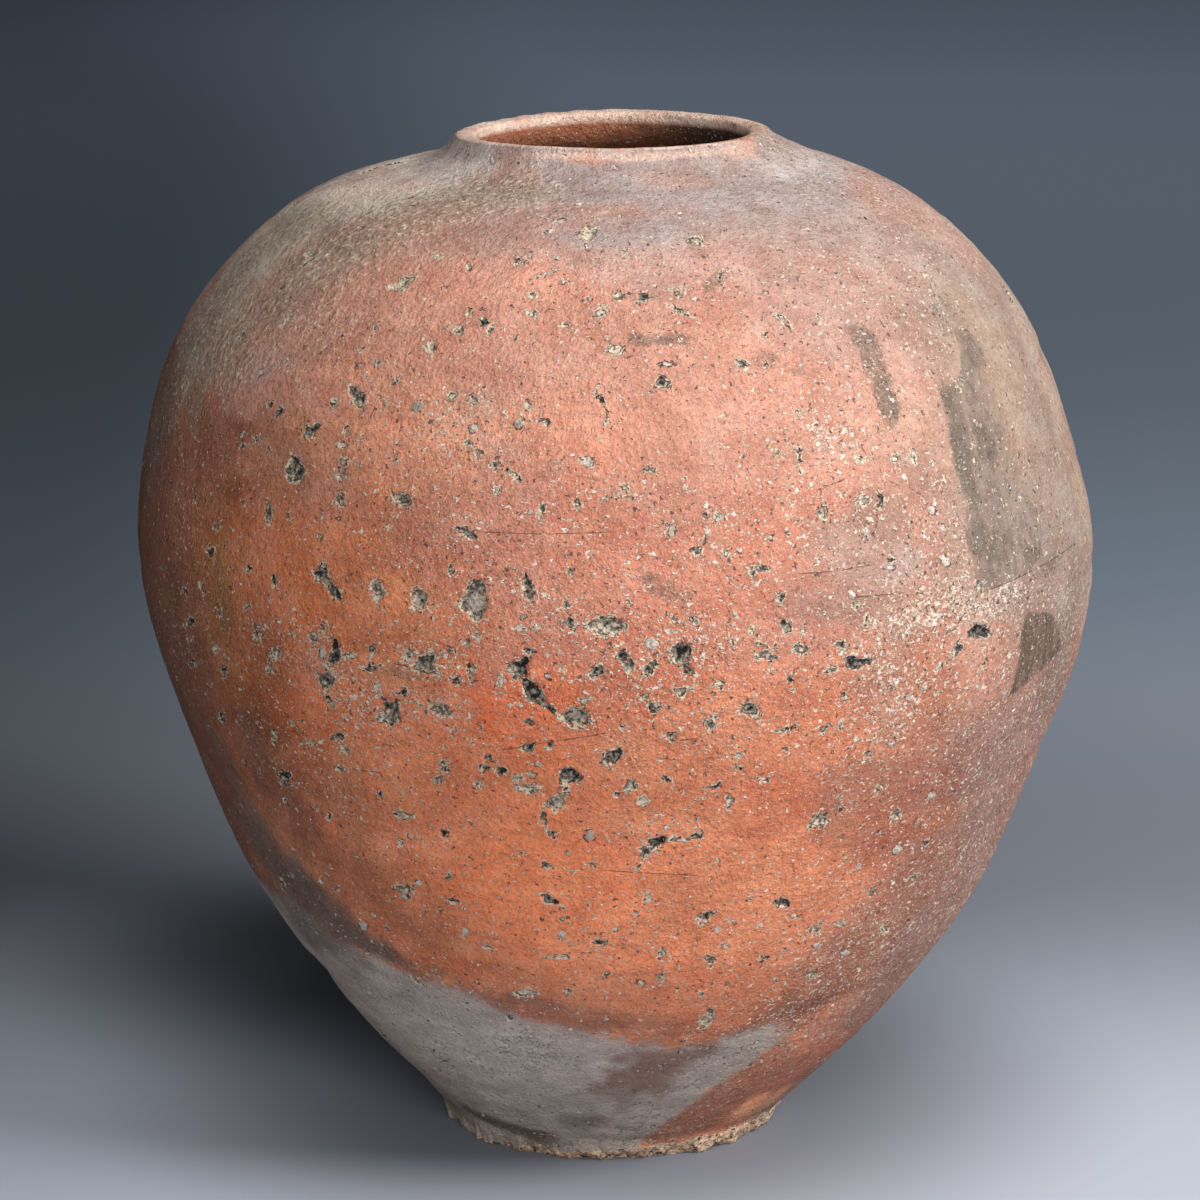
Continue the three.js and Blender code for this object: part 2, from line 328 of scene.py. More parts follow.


# Torn hollows: pixel of the photograph, length, width and tilt as they look from
# there, and tone from black to pale
HOLLOWS = [
    (259, 633, 8, 1.6, 80, 0.5), (279, 653, 6, 4, 20, 0.6), (250, 606, 3, 2, 60, 0.3),
    (350, 656, 8, 3, 10, 0.85), (371, 668, 8, 2.4, 0, 0.2), (409, 655, 6, 3, 20, 0.9),
    (438, 672, 5, 3, -20, 0.9), (433, 654, 4, 3, 0, 0.8), (457, 680, 4, 3, 30, 0.2),
    (503, 680, 4, 2, 70, 0.8), (403, 693, 3.5, 3, 0, 0.1), (379, 686, 5, 3, 30, 0.9),
    (417, 702, 7, 1.5, -20, 0.9), (454, 731, 4, 2, 70, 0.5), (312, 742, 8, 2, 10, 0.7),
    (276, 731, 4, 1.6, 85, 0.2), (294, 722, 3, 2, 0, 0.6), (517, 778, 4, 2, 20, 0.7),
    (445, 767, 5, 3, 0, 0.5), (439, 779, 5, 3, 30, 0.4), (479, 784, 5, 3, 85, 0.6),
    (525, 789, 8, 4, -20, 0.8), (218, 648, 3, 3, 0, 0.8), (272, 669, 3, 2, 60, 0.3),
    (535, 628, 16, 1, 3, 0.9), (680, 691, 6, 4, 10, 0.6), (651, 704, 10, 2.4, -50, 0.5),
    (312, 254, 6, 5, 30, 0.95), (438, 258, 3, 2.2, 0, 0.95), (290, 318, 4, 3, 40, 0.9),
    (244, 336, 4, 3, 50, 0.9), (378, 364, 2.8, 2.2, 0, 0.95), (398, 380, 3, 2, 60, 0.8),
    (528, 588, 15, 4.0, 98, 0.15), (475, 601, 13, 15, 0, 0.5), (420, 599, 9, 7.5, 30, 0.55),
    (606, 626, 19, 8, 3, 0.55), (570, 623, 4, 5.5, 20, 0.4), (467, 443, 4, 3, 60, 0.5),
    (478, 453, 5, 2.4, 85, 0.6), (495, 465, 5, 4, 20, 0.5), (509, 472, 3.4, 3.4, 0, 0.4),
    (517, 478, 4, 3, -20, 0.1), (405, 499, 8, 4.5, -25, 0.3), (498, 490, 4.5, 3, 60, 0.7),
    (468, 533, 12, 3, -22, 0.35), (541, 511, 7, 3, 75, 0.5), (577, 505, 5, 3.4, 80, 0.5),
    (624, 488, 4.5, 3, -15, 0.2), (611, 498, 5, 1.2, 0, 0.1), (650, 471, 4.5, 2.4, 0, 0.4),
    (546, 423, 4.4, 3.4, -30, 0.3), (588, 461, 6, 5, 0, 0.7), (696, 552, 5, 2.6, -15, 0.2),
    (451, 569, 5, 2, 75, 0.3), (570, 571, 5, 2.4, 80, 0.6), (565, 606, 4, 3.6, 0, 0.6),
    (680, 653, 10, 9, 40, 0.25), (688, 669, 7, 4, -50, 0.15), (622, 656, 7, 5, 30, 0.2),
    (629, 666, 8, 4, 70, 0.3), (597, 672, 8, 5, 10, 0.2), (649, 668, 10, 4, 35, 0.25),
    (530, 650, 7, 2.0, -10, 0.1), (519, 668, 10, 8, 60, 0.15), (534, 692, 16, 7, -50, 0.2),
    (551, 708, 8, 2.4, -38, 0.1), (575, 717, 13, 9, 0, 0.5), (584, 701, 5, 4, 40, 0.8),
    (425, 664, 10, 8, 30, 0.35), (471, 669, 6, 3.4, 100, 0.2), (451, 650, 4, 2, 80, 0.2),
    (467, 642, 6, 3, 55, 0.5), (477, 636, 5, 2.4, -30, 0.6), (456, 681, 4, 4, 0, 0.2),
    (405, 691, 3, 3, 0, 0.05), (442, 709, 10, 5, -20, 0.4), (628, 602, 3.4, 3, 0, 0.2),
    (693, 620, 5, 3.4, -60, 0.4), (651, 709, 6, 2.4, -45, 0.3), (644, 696, 4, 3, -50, 0.5),
    (530, 722, 4, 4, 0, 0.2), (528, 747, 5, 5, 40, 0.15), (550, 745, 3.4, 2.4, 0, 0.2),
    (489, 757, 4, 3.4, -30, 0.2), (486, 767, 4, 5, 80, 0.2), (502, 770, 4.4, 5, 80, 0.03),
    (612, 757, 12, 5.6, 22, 0.2), (569, 776, 10, 7.5, -50, 0.2), (556, 803, 9, 7, 0, 0.45),
    (534, 789, 8, 2.6, -38, 0.5), (566, 791, 6, 2.2, 65, 0.2), (544, 818, 8, 2.6, -72, 0.2),
    (552, 834, 5, 3.4, -50, 0.2), (630, 785, 5.4, 5.4, 0, 0.35), (617, 795, 4, 2.4, 50, 0.3),
    (643, 801, 5, 4, 0, 0.8), (672, 736, 4.4, 3.2, -20, 0.1), (709, 725, 3.6, 5.4, 20, 0.4),
    (716, 716, 3, 4, -30, 0.7), (749, 709, 8, 6, 40, 0.3), (739, 755, 4, 3, 0, 0.4),
    (739, 768, 2.6, 3, 0, 0.1), (667, 779, 4.6, 2.4, -45, 0.2), (713, 788, 6, 2.6, 5, 0.2),
    (730, 800, 3.6, 4.4, 0, 0.4), (656, 843, 7.5, 6, 10, 0.1), (646, 851, 6, 4, 70, 0.35),
    (638, 868, 5, 1.4, 55, 0.2), (694, 838, 7, 3.4, 12, 0.2), (677, 840, 6, 2, 5, 0.3),
    (521, 853, 2.6, 2.4, 0, 0.3), (547, 866, 4, 3.4, 0, 0.3), (592, 864, 2.6, 2.6, 0, 0.3),
    (550, 900, 8.5, 4.4, -25, 0.15), (453, 901, 4.4, 2.8, -20, 0.15), (647, 897, 5.4, 2.4, 5, 0.6),
    (705, 918, 9, 4, 25, 0.35), (734, 923, 4, 1.2, 0, 0.1), (601, 943, 9, 2.8, -8, 0.35),
    (558, 958, 9, 2, 3, 0.3), (488, 948, 4, 2.4, -20, 0.6), (662, 955, 3.6, 6, -20, 0.5),
    (710, 960, 6, 4, 0, 0.45), (727, 947, 3, 1.4, 0, 0.1), (661, 978, 3, 5.4, -25, 0.4),
    (445, 833, 4.4, 4, -40, 0.05), (449, 877, 3.6, 3.4, 0, 0.4), (404, 889, 8, 5.4, -15, 0.45),
    (188, 591, 2.4, 4.6, 5, 0.05), (205, 588, 1.8, 6.4, 12, 0.05), (193, 621, 5, 3.4, -18, 0.05),
    (221, 612, 2.2, 4.6, 0, 0.1), (251, 568, 2.8, 3, 0, 0.05), (276, 580, 1.8, 8.6, 4, 0.15),
    (323, 573, 9, 5.6, -45, 0.2), (335, 589, 12, 4, -55, 0.15), (379, 591, 5.4, 10, 5, 0.5),
    (260, 635, 3, 5.6, 20, 0.5), (314, 636, 4.4, 5, 0, 0.6), (324, 627, 3.6, 3.6, 0, 0.4),
    (336, 652, 4.6, 12, -5, 0.03), (328, 679, 9, 6.4, -15, 0.35), (333, 700, 2.6, 6, 20, 0.2),
    (373, 649, 4, 3.4, -20, 0.2), (372, 668, 6, 2.6, 0, 0.2), (392, 712, 9, 13, 25, 0.4),
    (227, 671, 2.6, 5, 5, 0.1), (194, 664, 2.6, 3, -30, 0.1), (272, 667, 2.4, 4.4, 25, 0.3),
    (277, 652, 3, 4, 0, 0.5), (224, 718, 2.4, 5.2, 15, 0.03), (276, 738, 2.2, 3.6, 0, 0.2),
    (339, 735, 6, 3.4, 20, 0.15), (346, 747, 5, 3, -50, 0.4), (314, 741, 5, 2, -15, 0.7),
    (287, 776, 6.6, 6, -40, 0.02), (341, 768, 4.4, 2.6, 0, 0.1), (301, 782, 3, 0.9, 0, 0.1),
    (382, 793, 2.2, 4, 0, 0.1), (405, 814, 10, 3.2, -12, 0.35), (331, 815, 2.6, 3.4, 30, 0.1),
    (288, 801, 2.2, 3.6, 10, 0.2), (402, 843, 3, 4, 30, 0.6), (313, 253, 5.4, 4, 20, 0.7),
    (307, 264, 4.6, 1.4, 40, 0.1), (402, 284, 11, 4.6, 18, 0.85), (432, 348, 5.2, 5.2, 0, 0.65),
    (359, 397, 7, 9, 30, 0.45), (366, 393, 5, 1.2, 35, 0.1), (336, 403, 3, 4, 0, 0.6),
    (453, 396, 4.4, 4, -20, 0.6), (282, 411, 3.4, 6, -25, 0.25), (270, 404, 2.2, 2.6, 0, 0.2),
    (313, 430, 8.6, 4.6, 30, 0.25), (258, 437, 1.8, 3, 0, 0.02), (246, 445, 3, 1.9, 0, 0.02),
    (348, 432, 2.4, 3.4, 0, 0.2), (345, 445, 4.4, 3.4, 0, 0.8), (297, 471, 8.6, 12, 5, 0.35),
    (270, 512, 3.6, 10, 0, 0.4), (377, 328, 2.2, 2.6, 0, 0.4), (346, 463, 2.4, 4, 10, 0.6),
    (395, 459, 3, 1.8, 0, 0.6), (343, 475, 3.6, 3.6, 0, 0.6), (342, 500, 3.4, 7.4, 15, 0.5),
    (402, 500, 9, 4.6, -28, 0.4), (213, 551, 3.4, 4.4, 20, 0.02), (219, 528, 3, 2.4, 0, 0.3),
    (589, 234, 7.4, 6, 45, 0.8), (695, 241, 6.6, 4.6, -25, 0.6), (519, 262, 5, 2.4, -50, 0.25),
    (470, 268, 3, 3, 0, 0.4), (533, 296, 3.6, 3.6, 0, 0.7), (619, 296, 6, 3.4, 5, 0.5),
    (643, 296, 5, 5, 45, 0.35), (600, 313, 7, 4, 30, 0.6), (681, 311, 11, 2.2, -27, 0.35),
    (678, 293, 6, 2.8, -25, 0.4), (720, 277, 1.6, 6, 0, 0.15), (470, 314, 2.2, 4.4, 5, 0.15),
    (484, 323, 4.4, 4.4, 0, 0.15), (461, 331, 4.4, 3.6, 0, 0.3), (491, 331, 3, 3.4, -40, 0.2),
    (532, 315, 4, 4.4, 40, 0.8), (566, 326, 3.6, 3, 0, 0.75), (616, 349, 7, 4.8, 0, 0.75),
    (662, 383, 7.4, 5.6, 10, 0.35), (601, 400, 2.6, 4.6, 25, 0.25), (607, 415, 2.6, 3, 0, 0.2),
    (474, 400, 3.6, 4.8, 20, 0.5), (528, 405, 3.4, 5.4, 0, 0.75), (741, 365, 9, 2.6, -40, 0.4),
    (765, 365, 2.4, 2.4, 0, 0.15), (784, 322, 9.6, 2.4, -50, 0.3), (722, 416, 3.6, 1, 0, 0.1),
    (481, 188, 3.4, 1.4, -45, 0.1), (800, 456, 1.8, 7, 3, 0.15), (800, 471, 1.4, 4.4, 0, 0.2),
    (777, 455, 3, 3.4, 0, 0.6), (860, 460, 4, 4, 0, 0.8), (896, 459, 4, 4, 0, 0.75),
    (915, 459, 4, 5.4, 0, 0.7), (822, 513, 5, 5.8, 0, 0.6), (881, 498, 2.8, 5.4, 0, 0.03),
    (879, 506, 4, 3, 0, 0.9), (864, 502, 6, 4.4, 20, 0.6), (719, 517, 5.8, 4, -20, 0.55),
    (705, 515, 2.4, 2.2, 0, 0.1), (890, 560, 2.4, 4, 0, 0.02), (759, 569, 6.8, 3.6, -5, 0.3),
    (726, 553, 3, 3.6, 0, 0.3), (704, 542, 2, 6, -22, 0.15), (780, 598, 3.6, 4.4, 0, 0.3),
    (855, 606, 4.4, 3.8, 0, 0.5), (866, 620, 1.8, 5.4, 0, 0.1), (786, 627, 5, 7, -20, 0.25),
    (752, 632, 4.4, 3, -10, 0.6), (802, 631, 3, 2.6, 0, 0.6), (766, 656, 9, 4.4, -8, 0.35),
    (759, 643, 4.4, 2, 0, 0.2), (776, 645, 2.4, 2.2, 0, 0.2), (800, 650, 7, 5.4, 10, 0.45),
    (842, 646, 5.6, 4.4, -20, 0.35), (856, 663, 11.5, 6, 8, 0.08), (830, 671, 6.4, 2.6, 10, 0.2),
    (732, 642, 1.8, 3.4, 0, 0.1), (768, 670, 4, 2.2, -20, 0.6), (790, 679, 3.4, 3.4, 0, 0.2),
    (720, 684, 4, 4.4, 0, 0.7), (843, 696, 3, 4, 0, 0.03), (785, 728, 10, 2, 13, 0.1),
    (823, 728, 5.4, 3, 30, 0.5), (841, 726, 2.2, 3.4, 0, 0.5), (868, 753, 3, 3, 0, 0.3),
    (786, 749, 1.8, 2.2, 0, 0.1), (760, 780, 2.2, 2.2, 0, 0.1), (981, 632, 10.5, 7, 15, 0.03),
    (951, 632, 5.4, 2, 5, 0.3), (957, 650, 3.2, 7, -25, 0.3), (980, 585, 4.8, 4, 20, 0.35),
    (984, 686, 2.2, 3, 0, 0.1), (820, 822, 9.8, 6, 20, 0.45), (841, 812, 3.6, 2.2, 20, 0.2),
    (896, 816, 3, 7, -30, 0.6), (879, 789, 3.4, 5.2, -30, 0.6), (840, 796, 1.4, 3, 30, 0.1),
    (926, 843, 3, 3.6, 0, 0.15), (873, 893, 3, 3.6, 0, 0.4), (916, 877, 3.6, 2.2, 0, 0.2),
    (783, 904, 6, 5.2, 0, 0.1), (817, 929, 6.4, 3.4, 48, 0.5), (842, 924, 3, 2.6, 0, 0.6),
    (887, 930, 2.6, 4, 0, 0.3), (763, 958, 2.6, 3, 0, 0.05), (811, 975, 4.4, 3.4, 0, 0.4),
    (323, 880, 3, 2.2, 0, 0.1), (339, 887, 3, 2, 0, 0.1), (284, 884, 2.2, 4.4, 0, 0.2),
    (568, 993, 3.6, 2.6, 0, 0.4), (526, 994, 12, 3.4, 0, 0.65), (708, 1020, 6, 9, 0, 0.6),
    (510, 1018, 3.6, 3, 0, 0.1), (421, 984, 6, 2.4, -30, 0.15), (370, 994, 1.8, 1.8, 0, 0.1),
    (386, 1036, 6, 2, -40, 0.2), (446, 1062, 3, 1.4, 0, 0.15), (606, 976, 2.6, 4, 0, 0.7),
]

# Stones: pixel, length, width and tilt as they look from there, lift, and tone
# from dark grey to white
STONES = [
    (476, 602, 8, 9, 0, 0.6, 0.8), (588, 462, 4.4, 3.8, 0, 0.3, 0.75), (519, 423, 4, 4.4, 0, 0.3, 0.7),
    (419, 406, 4.8, 4.8, 0, 0.4, 0.35), (652, 644, 4.6, 5, 40, 0.4, 0.75),
    (575, 716, 6, 4, 0, 0.4, 0.5), (667, 365, 8, 1.6, 0, 0.2, 0.95), (589, 836, 4.6, 4, -40, 0.3, 0.45),
    (568, 853, 2.8, 2.2, 0, 0.2, 0.5), (465, 932, 3.2, 3.2, 0, 0.3, 0.7),
    (557, 258, 3, 2.4, 0, 0.3, 0.75), (563, 282, 4, 1.6, 20, 0.3, 0.9),
    (473, 427, 4, 3.4, 40, 0.3, 0.85), (672, 531, 2.6, 5.4, 0, 0.3, 0.75),
    (502, 678, 1.4, 3.6, 20, 0.3, 0.95), (538, 763, 3.2, 3.2, 0, 0.3, 0.75),
    (533, 774, 3.2, 2.2, 0, 0.3, 0.6), (710, 746, 2.4, 2.4, 0, 0.3, 0.9),
    (946, 561, 4, 5.2, 20, 0.3, 0.85), (933, 510, 3.6, 3.6, 0, 0.3, 0.8),
    (944, 529, 2.6, 4.4, 0, 0.3, 0.8), (852, 595, 3.6, 3.6, 0, 0.3, 0.9),
    (740, 550, 2.6, 2.6, 0, 0.3, 0.9), (770, 538, 6, 1.6, 10, 0.2, 0.9), (866, 533, 2, 7, 5, 0.2, 0.8),
    (890, 568, 3, 2.2, 0, 0.3, 0.95), (940, 667, 2, 4.8, -20, 0.3, 0.9),
    (910, 698, 3, 2.6, 0, 0.3, 0.9), (855, 738, 2.6, 3, 0, 0.3, 0.9),
    (891, 743, 2.6, 2.6, 0, 0.3, 0.85), (880, 834, 3, 1.6, 35, 0.3, 0.9),
    (899, 850, 4.4, 4.4, 0, 0.3, 0.75), (932, 796, 4, 3.4, 0, 0.3, 0.6), (860, 869, 2, 2, 0, 0.3, 0.95),
    (795, 918, 2.4, 2.4, 0, 0.3, 0.9), (818, 946, 4, 2.6, 10, 0.3, 0.75),
    (847, 954, 4, 3.4, 0, 0.3, 0.75), (641, 985, 4.4, 2.2, -30, 0.3, 0.8),
    (695, 299, 3, 2.2, 0, 0.3, 0.95), (541, 275, 8, 1.6, 15, 0.1, 0.7),
    (579, 204, 3.4, 1.8, 40, 0.2, 0.95), (550, 232, 2.6, 2.2, 0, 0.2, 0.95),
    (561, 222, 2.6, 1.8, 0, 0.2, 0.85), (679, 212, 2.2, 1.6, 0, 0.2, 0.95),
    (379, 365, 2.4, 2.8, 0, 0.2, 0.95), (360, 366, 2.4, 1.8, 0, 0.2, 0.45),
    (262, 373, 3.2, 3, 0, 0.2, 0.7), (588, 246, 2, 2, 0, 0.2, 0.9), (492, 158, 1.6, 3.4, 0, 0.3, 0.85),
    (419, 882, 4.4, 2.4, 0, 0.3, 0.8), (412, 836, 2.4, 2.2, 0, 0.3, 0.85),
    (374, 915, 2.2, 2.6, 0, 0.3, 0.8), (562, 935, 3.4, 3.4, 0, 0.3, 0.75),
    (718, 931, 3, 2.2, 0, 0.3, 0.8), (324, 651, 2.6, 6, 5, 0.3, 0.7), (606, 1020, 2, 2, 0, 0.2, 0.8),
    (365, 925, 3.4, 5, 0, 0.2, 0.65),
]

# Drag lines, as pixels from one end to the other
SCRATCHES = [
    [(482, 532), (545, 534), (612, 532)], [(499, 749), (545, 742), (607, 733)],
    [(354, 768), (385, 772)], [(821, 507), (821, 487), (833, 485), (846, 479)],
    [(800, 574), (840, 571), (872, 565)], [(376, 394), (392, 400)], [(679, 631), (690, 650)],
    [(985, 592), (1035, 570), (1072, 545)], [(850, 598), (905, 593)], [(380, 400), (371, 418)],
    [(603, 870), (700, 876)], [(425, 1132), (440, 1138)], [(660, 742), (700, 738)],
    [(395, 663), (425, 668)], [(632, 497), (611, 499)], [(690, 1047), (730, 1049)],
]


# Unevenness of the skin from broad to fine: seed, amount, and size of the lumps across and up
UNEVENNESS = [
    (11, 0.55, 130, 75), (12, 0.22, 45, 28), (13, 0.07, 12, 9), (14, 0.05, 60, 3.2), (15, 0.03, 4, 3),
]
SMALL_HOLLOWS = 1200
SMALL_STONES = 700
SHOWN_HALF_ANGLE = math.radians(80)
SEAM_REACH = 4.5


def push(place, across, up, depth):
    """A soft dent where the depth is negative, or a swelling."""
    at, sideways, upwards = window(place, 2.4 * max(across, up))
    stand_out[at] += depth * bell(sideways, across) * bell(upwards, up)


def shape_skin():
    """The uneven build of the jar: paddling, seams, wiping, dents and the crumbling foot."""
    for seed, amount, across, up in UNEVENNESS:
        stand_out[:] += amount * soft_noise(seed, across, up)
    for number, row in enumerate(seam_rows[1:-1]):
        depth = 0.45 + 0.2 * soft_noise(20 + number, 120, 400)[row]
        stand_out[:] -= depth[None, :] * bell(along - along[row], SEAM_REACH)[:, None]
    push(placed(-92, 78), 80, 7, -1.7)
    push(placed(-88, 94), 70, 8, 0.8)
    crumbs = 1.1 + 0.8 * soft_noise(16, 14, 8) + 0.5 * soft_noise(17, 4, 3)
    stand_out[:] += bell(height - 3, 4.5)[:, None] * crumbs
    stand_out[:] -= 0.9 * bell(height - 11, 3.5)[:, None]
    below_lip = smoothstep(dense_along[-1] - along, 0, 9)[:, None]
    stand_out[:] *= 0.35 + 0.65 * below_lip


def random_place(rng):
    """A place anywhere on the skin, with equal chances for equal areas."""
    share = rng.uniform()
    area = np.cumsum(radius * np.gradient(along))
    return rng.uniform(-math.pi, math.pi), float(np.interp(share * area[-1], area, along))


def scatter_marks():
    """Small hollows and chips all over, and large ones where the photograph shows nothing."""
    rng = np.random.default_rng(7)
    for _ in range(SMALL_HOLLOWS):
        place = random_place(rng)
        if abs(place[0]) <= SHOWN_HALF_ANGLE:
            length = rng.uniform(1.0, 2.4)
        else:
            length = rng.uniform(4, 13) if rng.uniform() < 0.35 else rng.uniform(1.5, 3.5)
        width = length * rng.uniform(0.35, 0.8)
        cut_hollow(place, length, width, rng.uniform(-90, 90), rng.uniform(0.1, 0.9), rng)
    for _ in range(SMALL_STONES):
        place = random_place(rng)
        length = 1.2 + 1.6 * rng.uniform() ** 3
        width = length * rng.uniform(0.45, 0.9)
        set_stone(place, length, width, rng.uniform(-90, 90), 0.15, rng.uniform(0.5, 1), rng)


def picked_marks():
    """The listed hollows, stones and drag lines."""
    rng = np.random.default_rng(3)
    for x, y, length, width, tilt, tone in HOLLOWS:
        cut_hollow(seen(x, y), length, width, tilt, tone, rng, view=True)
    for x, y, length, width, tilt, lift, tone in STONES:
        set_stone(seen(x, y), length, width, tilt, lift, tone, rng, view=True)
    for pixels in SCRATCHES:
        scratch([seen(x, y) for x, y in pixels])


shape_skin()
scatter_marks()
picked_marks()

# Colours of the fired clay, linear, as they look in plain light, and dark ones that stand partly for painted
# shade
ORANGE = (0.69, 0.235, 0.115)
FIRE = (0.77, 0.245, 0.11)
RUST = (0.56, 0.215, 0.135)
SALMON = (0.60, 0.285, 0.20)
FLESH = (0.71, 0.305, 0.19)
DUSTY = (0.50, 0.295, 0.235)
MAUVE = (0.43, 0.325, 0.295)
BEIGE = (0.36, 0.25, 0.20)
BROWN = (0.39, 0.24, 0.185)
UMBER = (0.33, 0.165, 0.12)
OX_RED = (0.40, 0.155, 0.075)
MAROON = (0.33, 0.135, 0.085)
# Sooty dark of the left limb, partly painted shade
SOOT_AND_SHADE = (0.25, 0.10, 0.06)
# Smoky dark low on the left, partly painted shade
SMOKE_AND_SHADE = (0.17, 0.11, 0.085)
ASH = (0.62, 0.46, 0.365)
PALE_ASH = (0.77, 0.60, 0.49)
OLIVE = (0.20, 0.145, 0.115)
TAUPE = (0.47, 0.385, 0.33)
PALE_TAUPE = (0.54, 0.455, 0.39)
# The heel's taupe darkened by painted shade on the left
TAUPE_IN_PAINTED_SHADE = (0.20, 0.165, 0.14)
SAND = (0.46, 0.31, 0.20)
CREST = (0.74, 0.51, 0.40)
CREST_RED = (0.62, 0.26, 0.155)
INNER_CLAY = (0.38, 0.135, 0.07)
# Painted shade on the right of the inner face
INNER_PAINTED_SHADE = (0.07, 0.035, 0.022)

# Colour of the clay over the skin, and of the grey heel where it shows
clay = np.empty(shape + (3,))
heel = np.empty(shape + (3,))
clay[:] = ORANGE
heel[:] = TAUPE


def wash(layer, colour, share, at=slice(None)):
    """Mixes a colour into a layer by the given share."""
    share = np.clip(share, 0, 1)[..., None]
    layer[at] = layer[at] * (1 - share) + np.array(colour) * share


large_lumps, small_lumps = soft_noise(38, 34, 26), soft_noise(39, 9, 6)


def cloud_share(place, across, up, tilt=0.0):
    """A soft cloud with a ragged edge: the part of the skin it covers, and its share there."""
    at, sideways, upwards = window(place, 1.7 * max(across, up) + 6)
    slant = math.radians(tilt)
    a = (sideways * math.cos(slant) + upwards * math.sin(slant)) / across
    b = (upwards * math.cos(slant) - sideways * math.sin(slant)) / up
    edge = np.hypot(a, b) + 0.14 * large_lumps[at] + 0.12 * small_lumps[at]
    return at, 1 - smoothstep(edge, 0.45, 1.3)


def cloud(layer, place, across, up, colour, strength, tilt=0.0):
    """Paints a soft cloud into a layer."""
    at, share = cloud_share(place, across, up, tilt)
    wash(layer, colour, strength * share, at)


def paint_clouds(layer, clouds):
    """Clouds given as pixel, size, colour, strength and tilt."""
    for x, y, across, up, colour, strength, tilt in clouds:
        cloud(layer, seen(x, y), across, up, colour, strength, tilt)


# The fire's side is salmon above and orange below, the lee side brown, and the left limb dark red and sooty,
# partly as painted shade
level = height[:, None] + 9 * soft_noise(31, 80, 60) + 3 * soft_noise(32, 22, 16)
bearing = np.degrees(wrapped(turn))[None, :] + 5 * soft_noise(33, 60, 60)
bearing = bearing + 1.5 * soft_noise(34, 16, 20)
lee = smoothstep(bearing, 18, 48) * smoothstep(178 - np.abs(bearing), -10, 30)
wash(clay, RUST, smoothstep(level, 200, 275))
wash(clay, SALMON, smoothstep(level, 300, 345))
wash(clay, UMBER, lee * smoothstep(260 - level, 0, 60))
wash(clay, BROWN, lee * smoothstep(level, 215, 275))
wash(clay, BEIGE, 0.9 * smoothstep(bearing, 50, 66) * smoothstep(level, 205, 260))
wash(clay, OX_RED, 0.9 * smoothstep(-bearing, 40, 54))
wash(clay, SOOT_AND_SHADE, 0.9 * smoothstep(-bearing, 56, 70))
wash(clay, DUSTY, smoothstep(level, 382, 410))
wash(clay, DUSTY, 0.9 * smoothstep(-bearing, 36, 60) * smoothstep(level, 352, 366))
wash(clay, MAUVE, smoothstep(level, 414, 430))
